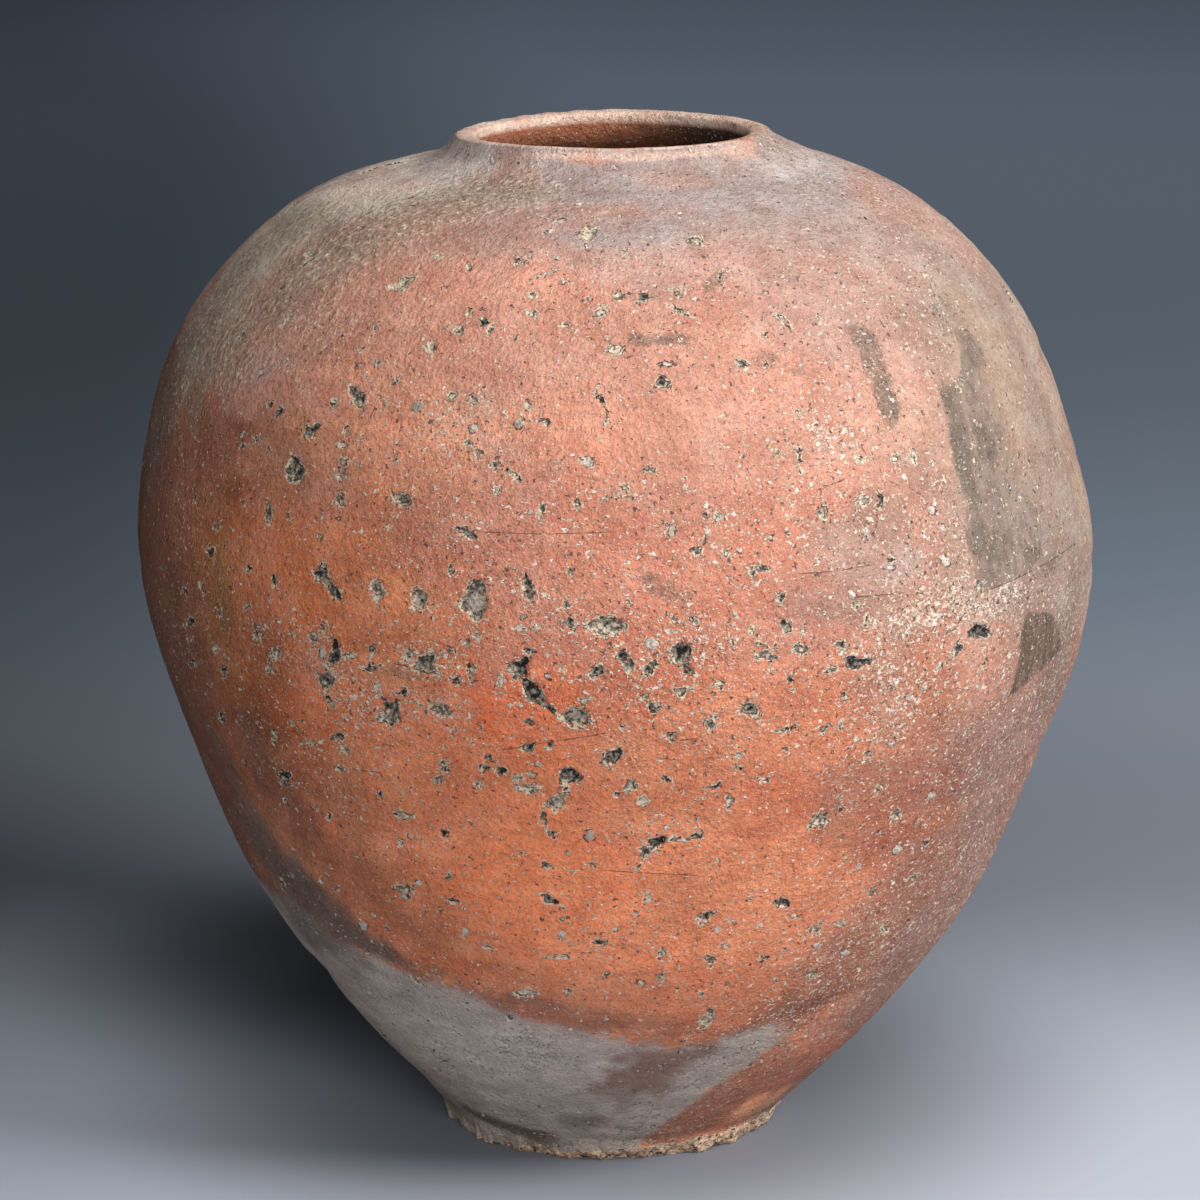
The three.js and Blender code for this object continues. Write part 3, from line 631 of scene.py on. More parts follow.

# Clouds: pixel, size, colour, strength and tilt
# The dark clouds on the left limb and at the left of the heel are partly painted shade.
CLOUDS = [
    (400, 405, 55, 34, FLESH, 0.8, 0), (590, 430, 50, 26, FLESH, 0.6, 0),
    (480, 315, 50, 26, FLESH, 0.5, 0), (720, 450, 60, 40, SALMON, 0.6, 0),
    (560, 330, 90, 30, SALMON, 0.6, 0), (680, 360, 70, 30, SALMON, 0.6, 0),
    (220, 450, 22, 30, MAROON, 0.8, 0), (166, 405, 26, 36, (0.27, 0.17, 0.13), 0.6, 0),
    (250, 372, 30, 10, MAUVE, 0.4, 20), (310, 570, 36, 34, ORANGE, 0.7, 0),
    (360, 630, 26, 26, ORANGE, 0.6, 0), (450, 640, 36, 26, ORANGE, 0.6, 0),
    (223, 600, 9, 34, (0.42, 0.20, 0.075), 0.6, 0), (160, 640, 18, 60, SOOT_AND_SHADE, 0.6, 0),
    (276, 690, 14, 36, MAROON, 0.7, 0), (285, 800, 20, 50, MAROON, 0.7, 25),
    (235, 780, 12, 40, SMOKE_AND_SHADE, 0.6, 25), (305, 855, 9, 8, OX_RED, 0.8, 0),
    (340, 780, 16, 26, (0.55, 0.23, 0.14), 0.7, 0), (430, 760, 60, 44, FIRE, 0.8, 0),
    (540, 890, 60, 36, FIRE, 0.8, 0), (640, 800, 60, 44, ORANGE, 0.7, 0),
    (640, 960, 60, 24, FIRE, 0.5, 0), (545, 690, 24, 14, ORANGE, 0.7, 0),
    (370, 880, 26, 20, OX_RED, 0.7, -30), (420, 925, 22, 12, OX_RED, 0.5, -30),
    (300, 892, 30, 14, SMOKE_AND_SHADE, 0.85, -38), (350, 930, 24, 9, SMOKE_AND_SHADE, 0.7, -34),
    (402, 962, 20, 5, SMOKE_AND_SHADE, 0.5, -25), (560, 1010, 40, 8, MAROON, 0.6, -12),
    (700, 720, 40, 30, ORANGE, 0.5, 0), (780, 600, 50, 34, RUST, 0.6, 0),
    (830, 710, 24, 20, ORANGE, 0.5, 0), (820, 880, 36, 34, ORANGE, 0.7, 15),
    (880, 790, 30, 40, MAROON, 0.6, 15), (940, 820, 16, 9, OX_RED, 0.7, 0),
    (850, 960, 34, 26, MAROON, 0.8, 30), (800, 1010, 30, 10, MAROON, 0.9, 20),
    (600, 1028, 70, 5, MAROON, 0.6, -8), (840, 1040, 30, 14, MAROON, 0.7, 30),
    (650, 988, 55, 8, ORANGE, 0.7, 0), (860, 560, 36, 34, BROWN, 0.6, 0),
    (905, 565, 18, 10, MAUVE, 0.25, 0), (920, 440, 24, 40, (0.44, 0.25, 0.18), 0.7, 0),
    (850, 330, 40, 26, (0.47, 0.275, 0.22), 0.7, -20), (800, 255, 60, 20, DUSTY, 0.6, -15),
    (860, 235, 60, 22, (0.40, 0.285, 0.24), 0.7, -25),
    (980, 330, 40, 40, (0.38, 0.26, 0.205), 0.7, -40), (1064, 660, 20, 34, (0.25, 0.165, 0.13), 0.8, 0),
    (1010, 600, 22, 8, BEIGE, 0.6, 8), (1000, 770, 24, 60, (0.31, 0.175, 0.135), 0.7, 20),
    (930, 870, 26, 22, MAROON, 0.5, 0), (497, 196, 34, 14, ASH, 0.9, 0),
    (400, 190, 50, 14, ASH, 0.9, 18), (340, 200, 46, 12, PALE_ASH, 0.9, 28),
    (282, 236, 30, 12, PALE_ASH, 0.9, 42), (300, 270, 40, 16, (0.60, 0.385, 0.28), 0.7, 40),
    # The pale clouds at the left end of the neck are partly a painted highlight
    (400, 162, 50, 26, PALE_ASH, 0.9, 0), (465, 160, 40, 20, (0.62, 0.53, 0.47), 0.85, 0),
    (285, 222, 44, 30, PALE_ASH, 0.8, 0), (820, 165, 50, 18, (0.54, 0.46, 0.43), 0.85, 0),
    (640, 200, 90, 10, MAUVE, 0.5, 0), (610, 212, 34, 9, SALMON, 0.5, 0),
    (575, 225, 20, 8, (0.56, 0.32, 0.24), 0.6, 0), (668, 180, 16, 7, (0.56, 0.33, 0.26), 0.6, 0),
    (478, 158, 22, 8, (0.47, 0.38, 0.33), 0.7, 8), (545, 156, 20, 2.4, (0.68, 0.44, 0.34), 0.6, 0),
    (588, 159, 10, 3, CREST_RED, 0.5, 0), (640, 156, 60, 2, CREST, 0.7, 0),
    (748, 146, 14, 4, CREST_RED, 0.7, 20), (740, 150, 16, 6, (0.60, 0.40, 0.32), 0.7, 10),
    (885, 690, 26, 26, (0.36, 0.19, 0.13), 0.5, 0), (232, 300, 20, 44, (0.47, 0.37, 0.285), 0.8, 52),
    (204, 350, 14, 34, (0.34, 0.25, 0.19), 0.7, 35), (265, 258, 30, 18, (0.56, 0.455, 0.36), 0.8, 45),
    (335, 212, 44, 14, (0.62, 0.52, 0.41), 0.7, 30), (276, 858, 34, 20, (0.17, 0.115, 0.09), 0.8, -40),
    (326, 905, 34, 13, (0.165, 0.11, 0.085), 0.8, -36),
]
paint_clouds(clay, CLOUDS)

# Dull ash round both limbs: degrees round from the front, height and size
LIMB_ASH = (0.42, 0.33, 0.255)
LIMB_CLOUDS = [
    (-112, 398, 60, 24), (-108, 372, 50, 34), (-106, 340, 40, 34), (100, 400, 50, 26), (98, 372, 44, 34),
    (98, 335, 36, 36), (96, 290, 30, 36),
]
for degrees, tall, across, up in LIMB_CLOUDS:
    cloud(clay, placed(degrees, tall), across, up, LIMB_ASH, 0.8)

# Slow changes of tone: pixel, size and how much of each primary is left
# These are partly painted light and shade, such as the brighter middle and the darker left
TONES_AND_PAINTED_LIGHT = [
    (250, 610, 40, 60, (1.0, 0.90, 0.76)), (290, 700, 30, 40, (0.96, 0.85, 0.74)),
    (380, 610, 44, 40, (0.95, 0.89, 0.78)), (530, 690, 36, 26, (1.10, 0.90, 0.80)),
    (280, 455, 26, 24, (0.76, 0.70, 0.60)), (390, 465, 44, 20, (1.0, 0.94, 0.87)),
    (580, 460, 26, 30, (1.16, 1.14, 1.12)), (580, 570, 20, 26, (1.12, 1.15, 1.15)),
    (860, 600, 44, 50, (0.90, 1.0, 1.06)), (570, 890, 60, 50, (1.14, 1.08, 1.02)),
    (280, 290, 24, 40, (1.12, 1.04, 1.0)), (620, 265, 44, 20, (1.13, 1.05, 1.04)),
    (1040, 450, 50, 80, (0.94, 0.98, 0.95)), (900, 400, 24, 30, (1.16, 1.10, 1.06)),
    (390, 780, 30, 24, (0.92, 0.92, 0.90)), (220, 740, 30, 40, (1.04, 0.96, 0.86)),
    (760, 800, 30, 24, (0.92, 0.84, 0.86)), (230, 470, 30, 30, (0.94, 0.84, 0.76)),
    (750, 1108, 24, 12, (1.45, 1.5, 1.3)), (285, 775, 24, 30, (0.70, 0.70, 0.66)),
    (340, 785, 20, 30, (0.85, 0.88, 0.84)), (460, 965, 24, 10, (0.82, 0.72, 0.64)),
    (940, 715, 20, 24, (0.78, 0.80, 0.80)), (925, 800, 30, 50, (0.96, 0.82, 0.78)),
    (640, 670, 26, 20, (0.92, 0.80, 0.76)), (520, 715, 20, 20, (0.96, 0.84, 0.78)),
    (515, 160, 24, 8, (1.25, 1.35, 1.4)), (790, 160, 40, 10, (1.14, 1.15, 1.15)),
    (405, 160, 20, 10, (1.1, 1.15, 1.2)), (400, 890, 50, 26, (0.90, 0.86, 0.82)),
    (790, 1010, 40, 16, (0.84, 0.78, 0.74)), (1045, 610, 20, 30, (0.88, 0.82, 0.80)),
    (1066, 440, 20, 60, (1.16, 1.14, 1.08)), (580, 900, 50, 50, (1.05, 1.03, 1.02)),
    (235, 345, 24, 40, (1.0, 0.92, 0.9)), (1000, 420, 34, 40, (1.12, 1.10, 1.04)),
    (880, 340, 40, 50, (1.05, 1.05, 1.06)), (780, 1075, 34, 26, (1.24, 1.02, 0.94)),
    (740, 1108, 26, 8, (1.25, 1.3, 1.3)), (280, 905, 16, 16, (0.8, 0.76, 0.7)),
    (160, 410, 16, 40, (0.8, 0.92, 0.94)), (370, 775, 70, 60, (1.08, 1.05, 1.04)),
]
for x, y, across, up, left in TONES_AND_PAINTED_LIGHT:
    at, share = cloud_share(seen(x, y), across, up)
    clay[at] = clay[at] * (1 + share[..., None] * (np.array(left) - 1))

# Smears of dark ash: pixel, size, strength and tilt
SMEARS = [
    (640, 341, 8, 4, 0.8, 0), (668, 340, 12, 4, 0.7, 0), (714, 281, 8, 3, 0.7, 40),
    (769, 361, 8, 6, 0.6, 30), (795, 370, 8, 6, 0.6, 0), (660, 586, 8, 4, 0.6, -35),
    (676, 596, 7, 4, 0.6, -20), (862, 338, 7, 12, 0.8, 20), (874, 368, 7, 14, 0.8, 20),
    (886, 400, 7, 12, 0.9, 10), (863, 500, 5, 4, 0.6, 0), (222, 598, 6, 24, 0.5, 0),
    (188, 654, 8, 9, 0.5, 0), (862, 690, 12, 6, 0.5, 20), (404, 672, 13, 4, 0.6, 0),
    (384, 668, 8, 8, 0.5, 0), (530, 1003, 30, 5, 0.55, -14), (455, 978, 16, 4, 0.5, -20),
    (590, 262, 11, 4, 0.5, 0), (480, 320, 10, 6, 0.4, 0), (840, 645, 12, 7, 0.4, 0),
    (956, 414, 6, 16, 0.85, 8), (963, 448, 7, 18, 0.85, 8), (972, 490, 8, 20, 0.8, 4),
    (984, 540, 10, 20, 0.75, 4), (990, 578, 10, 9, 0.7, 0), (974, 350, 8, 12, 0.7, 10),
    (976, 386, 7, 12, 0.5, 0), (990, 452, 9, 16, 0.8, 0), (985, 512, 9, 14, 0.5, 0),
    (1000, 548, 14, 12, 0.7, 0), (1034, 556, 12, 6, 0.7, 15), (1050, 568, 9, 5, 0.6, 15),
    (1004, 350, 8, 10, 0.4, 0), (1020, 598, 12, 5, 0.5, 10), (945, 322, 6, 12, 0.6, 10),
    (1000, 300, 14, 6, 0.3, -30), (228, 610, 9, 12, 0.5, 0), (255, 735, 10, 14, 0.5, 20),
    (330, 655, 8, 8, 0.4, 0),
]


def strongest(marks):
    """How strong the strongest of the marks is at each place of the skin."""
    field = np.zeros(shape)
    for x, y, across, up, strength, tilt in marks:
        at, share = cloud_share(seen(x, y), across, up, tilt)
        field[at] = np.maximum(field[at], strength * share)
    return field


soot = strongest(SMEARS)


def zone_distance(corners):
    """Signed distance to an outline on the skin, less than nothing inside it."""
    corners = np.array(corners)
    angle, distance = corners.mean(axis=0)
    local = np.interp(distance, along, radius)
    px = np.broadcast_to(wrapped(turn - angle)[None, :] * local, shape)
    py = np.broadcast_to(along[:, None], shape)
    xs = wrapped(corners[:, 0] - angle) * local
    ys = corners[:, 1]
    nearest = np.full(shape, np.inf)
    inside = np.zeros(shape, bool)
    for i in range(len(corners)):
        x0, y0, x1, y1 = xs[i - 1], ys[i - 1], xs[i], ys[i]
        dx, dy = x1 - x0, y1 - y0
        share = np.clip(((px - x0) * dx + (py - y0) * dy) / (dx * dx + dy * dy), 0, 1)
        nearest = np.minimum(nearest, np.hypot(px - x0 - share * dx, py - y0 - share * dy))
        crosses = (y0 > py) != (y1 > py)
        with np.errstate(divide="ignore", invalid="ignore"):
            inside ^= crosses & (px < dx * (py - y0) / (dy or 1e-9) + x0)
    return np.where(inside, -nearest, nearest)


def photo_zone(pixels, behind=()):
    """Zone with corners at pixels, and out of sight at degrees round and height."""
    corners = [seen(x, y) for x, y in pixels] + [placed(degrees, tall) for degrees, tall in behind]
    return zone_distance(corners)


# Where another vessel stood close by: an ash patch with a firm left edge, deepest in the middle,
# and a wedge below it
ash_patch = photo_zone(
    [(940, 300), (958, 330), (962, 372), (943, 397), (946, 417), (952, 439), (957, 467), (966, 499),
     (967, 539), (974, 569), (974, 591), (987, 591), (1031, 571), (1052, 575)],
    [(84, 252), (104, 280), (104, 380), (60, 400)],
)
ash_wedge = photo_zone(
    [(1029, 611), (1023, 628), (1019, 661), (1010, 697), (1039, 673), (1062, 650), (1056, 615)],
)
ash_depth = strongest([(975, 420, 22, 50, 1, 0), (985, 500, 34, 50, 1, 0), (1010, 545, 40, 28, 1, 0)])

# Heel that stood in the reducing bed of the kiln
taupe_zone = photo_zone(
    [(250, 872), (292, 898), (335, 936), (383, 960), (419, 980), (448, 985), (481, 998), (506, 1013),
     (550, 1024), (579, 1031), (623, 1038), (666, 1049), (710, 1047), (739, 1034), (777, 1022),
     (788, 1036), (708, 1095), (650, 1138)],
    [(8, 1), (-60, 1), (-130, 1), (-150, 80), (-120, 150)],
)
# The dark cloud on the heel's left is painted shade
HEEL_CLOUDS = [
    (290, 905, 46, 24, TAUPE_IN_PAINTED_SHADE, 0.9, -35), (450, 1040, 46, 26, PALE_TAUPE, 0.8, 0),
    (550, 1075, 36, 16, PALE_TAUPE, 0.6, 0),
]
LOW_HEEL_CLOUDS = [
    (590, 1120, 14, 9, OLIVE, 0.7, 0), (540, 1100, 60, 14, (0.50, 0.43, 0.375), 0.6, 0),
    (590, 1098, 20, 8, (0.33, 0.255, 0.205), 0.5, 20), (505, 1124, 24, 6, (0.15, 0.09, 0.06), 0.8, -15),
]
pale_streak = photo_zone([(742, 1036), (768, 1028), (786, 1040), (652, 1138), (610, 1136), (690, 1076)])
dark_patch = photo_zone([(596, 1078), (640, 1053), (700, 1056), (672, 1086), (630, 1106), (600, 1102)])
paint_clouds(heel, HEEL_CLOUDS)
wash(heel, (0.26, 0.15, 0.11), 0.9 * smoothstep(-dark_patch + 4 * soft_noise(35, 9, 5), -11, 8))
wash(heel, (0.46, 0.375, 0.315), 0.95 * smoothstep(-pale_streak + 2.5 * soft_noise(36, 12, 9), -9, 5))
paint_clouds(heel, LOW_HEEL_CLOUDS)
wedge_clay = photo_zone([(790, 1042), (800, 1060), (715, 1128), (655, 1146), (640, 1140), (700, 1096)])
wash(clay, (0.42, 0.175, 0.11), 0.85 * smoothstep(-wedge_clay, -4, 3))

# Share of grit in the clay, with gritty clusters given as pixel and size
CLUSTERS = [
    (430, 660, 16, 9), (442, 708, 12, 7), (622, 490, 18, 9), (872, 642, 24, 16), (300, 640, 18, 14),
    (1000, 602, 26, 9), (940, 606, 26, 12), (700, 640, 20, 12), (350, 690, 20, 16), (560, 470, 16, 9),
    (880, 720, 34, 30), (640, 830, 24, 12), (470, 420, 20, 12), (830, 440, 20, 14),
]
grit = np.clip(0.58 + 0.24 * np.sin(turn)[None, :] + 0.14 * soft_noise(37, 50, 40), 0.12, 1)
for x, y, across, up in CLUSTERS:
    at, share = cloud_share(seen(x, y), across, up)
    grit[at] += 0.45 * share
grit = grit * (1 - 0.35 * smoothstep(-taupe_zone, 0, 6))
grit = grit * (1 - 0.5 * smoothstep(-ash_patch, -6, 6)) * (1 - 0.4 * smoothstep(-ash_wedge, -2, 2))

# Pale ash dust settled on the shoulder, thickest by the neck and along a line to the left:
# pixel, size and strength
ash_dust = np.zeros(shape)
DUST = [
    (495, 194, 34, 20, 1.0), (445, 205, 30, 18, 0.95), (400, 220, 30, 20, 0.9), (355, 242, 30, 22, 0.9),
    (312, 272, 30, 24, 0.9), (275, 305, 28, 24, 0.8), (240, 345, 26, 24, 0.7), (330, 230, 70, 30, 0.6),
    (240, 270, 26, 34, 0.75), (205, 335, 20, 36, 0.6), (300, 225, 40, 24, 0.8), (560, 215, 30, 12, 0.5),
    (330, 330, 30, 24, 0.45),
]
for x, y, across, up, strength in DUST:
    angle, distance = seen(x, y)
    sideways = wrapped(turn - angle)[None, :] * np.interp(distance, along, radius)
    near = strength * bell(np.hypot(sideways / across, (along[:, None] - distance) / up), 1.0)
    ash_dust = np.maximum(ash_dust, near)
sand = smoothstep(8 + 4 * np.sin(turn) - height[:, None], 0, 4)

# Wavy lip: its left and back left are lower
lip_drop = 2.1 * bell(wrapped(turn + math.radians(105)), 0.95) + 0.15 * np.sin(5 * turn + 1)
lip_drop = np.maximum(lip_drop, 0) + 0.15

# How much further out each column stands, as the jar is a little oval
oval = 1 - OVALITY * np.cos(2 * (turn - OVAL_TURN))


def points_round(middle, reach, z):
    """Points round the axis at the given reach and height, for each column."""
    x = middle + reach * np.sin(turn)
    y = -reach * np.cos(turn)
    return np.stack([x, y, z + np.zeros_like(x)], axis=-1)


def outer_points():
    """Points of the skin as it stands out, with the lip's waves."""
    tall = height[:, None]
    reach = radius[:, None] * oval + stand_out * out_share[:, None]
    drop = lip_drop * smoothstep(tall, 425, 447)
    z = np.maximum(tall + stand_out * up_share[:, None] - drop, 0)
    return points_round(centre[:, None], reach, z)


outer = outer_points()
FIELDS = {
    "hollow": hollow, "hollow_tone_and_shade": hollow_tone_and_shade, "stone": stone, "stone_tone": stone_tone, "line": line,
    "line_on": line_on, "ash_patch": ash_patch, "ash_depth": ash_depth, "ash_wedge": ash_wedge,
    "soot": soot, "taupe_zone": taupe_zone, "grit": grit, "ash_dust": ash_dust, "sand": sand,
}
# The same fields where the clay is plain, as on the inside, far from any mark
PLAIN = {
    "hollow": 9, "hollow_tone_and_shade": 0.3, "stone": 9, "stone_tone": 0.5, "line": 4, "line_on": 0,
    "ash_patch": 60, "ash_depth": 0, "ash_wedge": 60, "soot": 0, "taupe_zone": 60, "grit": 0.35,
    "ash_dust": 0, "sand": 0,
}

# The heel's wall thins upwards, and its inner face turns from upright to square to the wall
heel_start, heel_end = along_at(FLOOR_LEVEL), along_at(HEEL_LEVEL)


def thickness_at(distance):
    """Thickness of the wall at a distance along the outline."""
    share = np.clip((distance - heel_start) / (heel_end - heel_start), 0, 1)
    return HEEL_WALL + (WALL - HEEL_WALL) * share


# The inner face: wiped and uneven, with a ridge for each coil, and darkened on the right by painted shade
inner_out = 0.5 * soft_noise(41, 90, 60) + 0.35 * soft_noise(42, 60, 9) + 0.12 * soft_noise(43, 10, 8)
inner_out += np.sin(along / COIL_HEIGHT * ROUND)[:, None] * (0.5 + 0.2 * soft_noise(44, 90, 30))
inner_shade_side = smoothstep(np.cos(turn - math.radians(75)), -0.45, 0.55)[:, None]
inner_clay_and_shade = np.array(INNER_CLAY) * (1 - inner_shade_side) + np.array(INNER_PAINTED_SHADE) * inner_shade_side


def ring(points, fields=None, colour=INNER_CLAY, heel_colour=TAUPE):
    """One closed ring of a piece: its points, its fields and its two colours."""
    fields = fields or {name: np.full(len(turn), float(value)) for name, value in PLAIN.items()}
    colours = [np.broadcast_to(np.asarray(c, float), (len(turn), 3)) for c in (colour, heel_colour)]
    return points, fields, np.concatenate(colours, axis=1)


def outer_ring(row):
    """Ring of the skin, with its marks and colours."""
    return ring(outer[row], {name: field[row] for name, field in FIELDS.items()}, clay[row], heel[row])


def inner_ring(row):
    """Ring of the inner face, square to the wall from the outer one."""
    unevenness = 0 if row in seam_rows else inner_out[row] * 0.8
    offset = unevenness - thickness_at(along[row])
    tip = smoothstep(along[row], heel_start, heel_end)
    out, up = 1 + tip * (out_share[row] - 1), tip * up_share[row]
    size = math.hypot(out, up)
    reach = radius[row] * oval + offset * out / size
    return ring(points_round(centre[row], reach, height[row] + offset * up / size), colour=inner_clay_and_shade)


def add_fields(mesh, fields, colours):
    """The fields and the two colours, as attributes that the materials read."""
    for key, field in fields.items():
        attribute = mesh.attributes.new(key, "FLOAT", "POINT")
        attribute.data.foreach_set("value", field.astype(np.float32))
    for key, part in (("clay", colours[:, :3]), ("heel", colours[:, 3:])):
        tint = mesh.attributes.new(key, "FLOAT_COLOR", "POINT")
        rgba = np.concatenate([part, np.ones((len(part), 1))], axis=1)
        tint.data.foreach_set("color", rgba.astype(np.float32).ravel())


def build(name, rings, sharp, closed, slot):
    """A closed body from rings round the axis, with hard edges on the sharp rings.

    The rings go round the clay and close on themselves, or an open run is closed on the axis.
    """
    count, columns = len(rings), len(turn)
    points = np.concatenate([points for points, _, _ in rings])
    colours = np.concatenate([colour for _, _, colour in rings])
    fields = {key: np.concatenate([f[key] for _, f, _ in rings]) for key in PLAIN}
    column = np.arange(columns)
    after = (column + 1) % columns
    faces = []
    for number in range(count if closed else count - 1):
        low, high = number * columns, (number + 1) % count * columns
        faces.append(np.stack([low + column, low + after, high + after, high + column], axis=-1))
    quads = np.concatenate(faces)
    triangles = np.empty((0, 3), int)
    if not closed:
        ends = [rings[0][0].mean(axis=0), rings[-1][0].mean(axis=0)]
        first, last = len(points), len(points) + 1
        points = np.concatenate([points, ends])
        colours = np.concatenate([colours, [rings[0][2][0], rings[-1][2][0]]])
        fields = {key: np.concatenate([f, [PLAIN[key]] * 2]) for key, f in fields.items()}
        top = (count - 1) * columns
        fan_low = np.stack([np.full(columns, first), after, column], axis=-1)
        fan_high = np.stack([np.full(columns, last), top + column, top + after], axis=-1)
        triangles = np.concatenate([fan_low, fan_high])
    mesh = bpy.data.meshes.new(name)
    mesh.vertices.add(len(points))
    mesh.vertices.foreach_set("co", (points * METRES).astype(np.float32).ravel())
    corners = np.concatenate([quads.ravel(), triangles.ravel()]).astype(np.int32)
    starts = np.concatenate([np.arange(len(quads)) * 4, len(quads) * 4 + np.arange(len(triangles)) * 3])
    mesh.loops.add(len(corners))
    mesh.loops.foreach_set("vertex_index", corners)
    mesh.polygons.add(len(starts))
    mesh.polygons.foreach_set("loop_start", starts.astype(np.int32))
    mesh.update(calc_edges=True)
    mesh.polygons.foreach_set("use_smooth", np.ones(len(starts), bool))
    ends = np.empty(len(mesh.edges) * 2, np.int32)
    mesh.edges.foreach_get("vertices", ends)
    ring_of = ends.reshape(-1, 2) // columns
    on_ring = (ring_of[:, 0] == ring_of[:, 1]) & np.isin(ring_of[:, 0], sharp)
    mesh.attributes.new("sharp_edge", "BOOLEAN", "EDGE").data.foreach_set("value", on_ring)
    add_fields(mesh, fields, colours)
    mesh.validate()
    piece = bpy.data.objects.new(name, mesh)
    bpy.context.scene.collection.objects.link(piece)
    piece.data.materials.append(materials[slot])
    return piece


class Graph:
    """Short calls for the nodes of one material. Sizes are millimetres."""

    def __init__(self, material):
        self.nodes = material.node_tree.nodes
        self.links = material.node_tree.links

    def put(self, socket, value):
        if isinstance(value, bpy.types.NodeSocket):
            self.links.new(value, socket)
        elif isinstance(value, tuple) and len(value) == 3 and socket.type == "RGBA":
            socket.default_value = (*value, 1)
        else:
            socket.default_value = value

    def node(self, kind, inputs, **settings):
        node = self.nodes.new(kind)
        for name, value in settings.items():
            setattr(node, name, value)
        for name, value in inputs.items():
            self.put(node.inputs[name], value)
        return node

    def math(self, operation, a, b=0.0):
        return self.node("ShaderNodeMath", {0: a, 1: b}, operation=operation).outputs[0]

    def times(self, a, b):
        return self.math("MULTIPLY", a, b)

    def plus(self, a, b):
        return self.math("ADD", a, b)

    def step(self, value, low, high, start=0.0, end=1.0):
        """Goes smoothly from start to end as the value goes from low to high."""
        inputs = {"Value": value, "From Min": low, "From Max": high, "To Min": start, "To Max": end}
        return self.node("ShaderNodeMapRange", inputs, interpolation_type="SMOOTHSTEP").outputs[0]

    def scaled(self, vector, x, y, z):
        inputs = {0: vector, 1: (x, y, z)}
        return self.node("ShaderNodeVectorMath", inputs, operation="MULTIPLY").outputs[0]

    def noise(self, place, size, detail=2.0, rough=0.5):
        inputs = {"Vector": place, "Scale": 1 / size, "Detail": detail, "Roughness": rough}
        return self.node("ShaderNodeTexNoise", inputs).outputs["Fac"]

    def cells(self, place, size):
        """Distance from the middle of each cell, in cells, and a random colour for each cell."""
        inputs = {"Vector": place, "Scale": 1 / size, "Randomness": 1.0}
        node = self.node("ShaderNodeTexVoronoi", inputs)
        return node.outputs["Distance"], node.outputs["Color"]

    def channel(self, colour, name):
        return self.node("ShaderNodeSeparateColor", {"Color": colour}).outputs[name]

    def mix(self, share, a, b, blend="MIX"):
        node = self.node("ShaderNodeMix", {}, data_type="RGBA", blend_type=blend)
        self.put(node.inputs["Factor"], share)
        self.put(node.inputs[6], a)
        self.put(node.inputs[7], b)
        return node.outputs[2]

    def field(self, name):
        return self.node("ShaderNodeAttribute", {}, attribute_name=name).outputs["Fac"]

    def colour_field(self, name):
        return self.node("ShaderNodeAttribute", {}, attribute_name=name).outputs["Color"]


class Clay(Graph):
    """Graph that builds up one colour and one relief, layer on layer."""

    def __init__(self, material):
        super().__init__(material)
        object_place = self.node("ShaderNodeTexCoord", {}).outputs["Object"]
        self.place = self.scaled(object_place, 1000, 1000, 1000)
        self.bent = self.shaken(self.place, 1.1, 1.2)
        self.grain = self.noise(self.place, 0.9, 3.0, 0.6)
        self.lumps = self.noise(self.place, 5.0, 3.0, 0.55)
        self.clouds = self.noise(self.place, 26.0, 4.0, 0.6)
        self.colour = self.colour_field("clay")
        self.relief = 0.0

    def shaken(self, place, size, reach):
        """Places moved about at random, so that what lies on them gets uneven edges."""
        noise = self.node("ShaderNodeTexNoise", {"Vector": place, "Scale": 1 / size, "Detail": 1.0})
        inputs = {0: noise.outputs["Color"], 1: (0.5, 0.5, 0.5)}
        away = self.node("ShaderNodeVectorMath", inputs, operation="SUBTRACT").outputs[0]
        inputs = {0: place, 1: self.scaled(away, reach, reach, reach)}
        return self.node("ShaderNodeVectorMath", inputs, operation="ADD").outputs[0]

    def swing(self, value, amount):
        """Noise brought to swing about nothing by the amount."""
        return self.times(self.math("SUBTRACT", value, 0.5), amount)

    def paint(self, share, colour):
        self.colour = self.mix(share, self.colour, colour)

    def shade(self, factor):
        self.colour = self.mix(1.0, self.colour, factor, "MULTIPLY")

    def lift(self, share, millimetres):
        self.relief = self.plus(self.relief, self.times(share, millimetres))

    def near(self, value, middle, reach):
        """1 where the value is at the middle, falling to nothing at the reach."""
        return self.step(self.math("ABSOLUTE", self.math("SUBTRACT", value, middle)), reach, reach * 0.3)

    def specks(self, place, size, low, high, density):
        """Grains that fill part of the cells: 1 on a grain. Also gives each cell's random colour."""
        distance, colour = self.cells(place, size)
        reach = self.step(self.channel(colour, "Green"), 0, 1, low / size, high / size)
        on = self.step(self.math("SUBTRACT", reach, distance), -0.05 / size, 0.18 / size)
        chosen = self.math("LESS_THAN", self.channel(colour, "Red"), density)
        return self.times(on, chosen), self.channel(colour, "Blue")


def body(g):
    """Mottled gritty clay, wiped round while it was wet."""
    wiped = g.noise(g.scaled(g.place, 0.07, 0.07, 0.8), 2.4, 4.0, 0.65)
    patches = g.noise(g.place, 11.0, 3.0, 0.6)
    rough = g.noise(g.place, 2.3, 2.0, 0.6)
    g.shade(g.mix(g.step(g.clouds, 0.3, 0.7), (0.87, 0.82, 0.80), (1.08, 1.12, 1.14)))
    g.shade(g.mix(g.step(patches, 0.3, 0.7), (0.95, 0.89, 0.88), (1.04, 1.09, 1.10)))
    for value, dark, pale in ((g.lumps, 0.93, 1.06), (wiped, 0.94, 1.06), (rough, 0.91, 1.10)):
        g.shade(g.step(value, 0.3, 0.7, dark, pale))
    g.shade(g.step(g.grain, 0.25, 0.75, 0.82, 1.19))
    for value, tall in ((g.grain, 0.65), (rough, 1.15), (g.lumps, 0.8), (wiped, 0.22)):
        g.lift(value, tall)


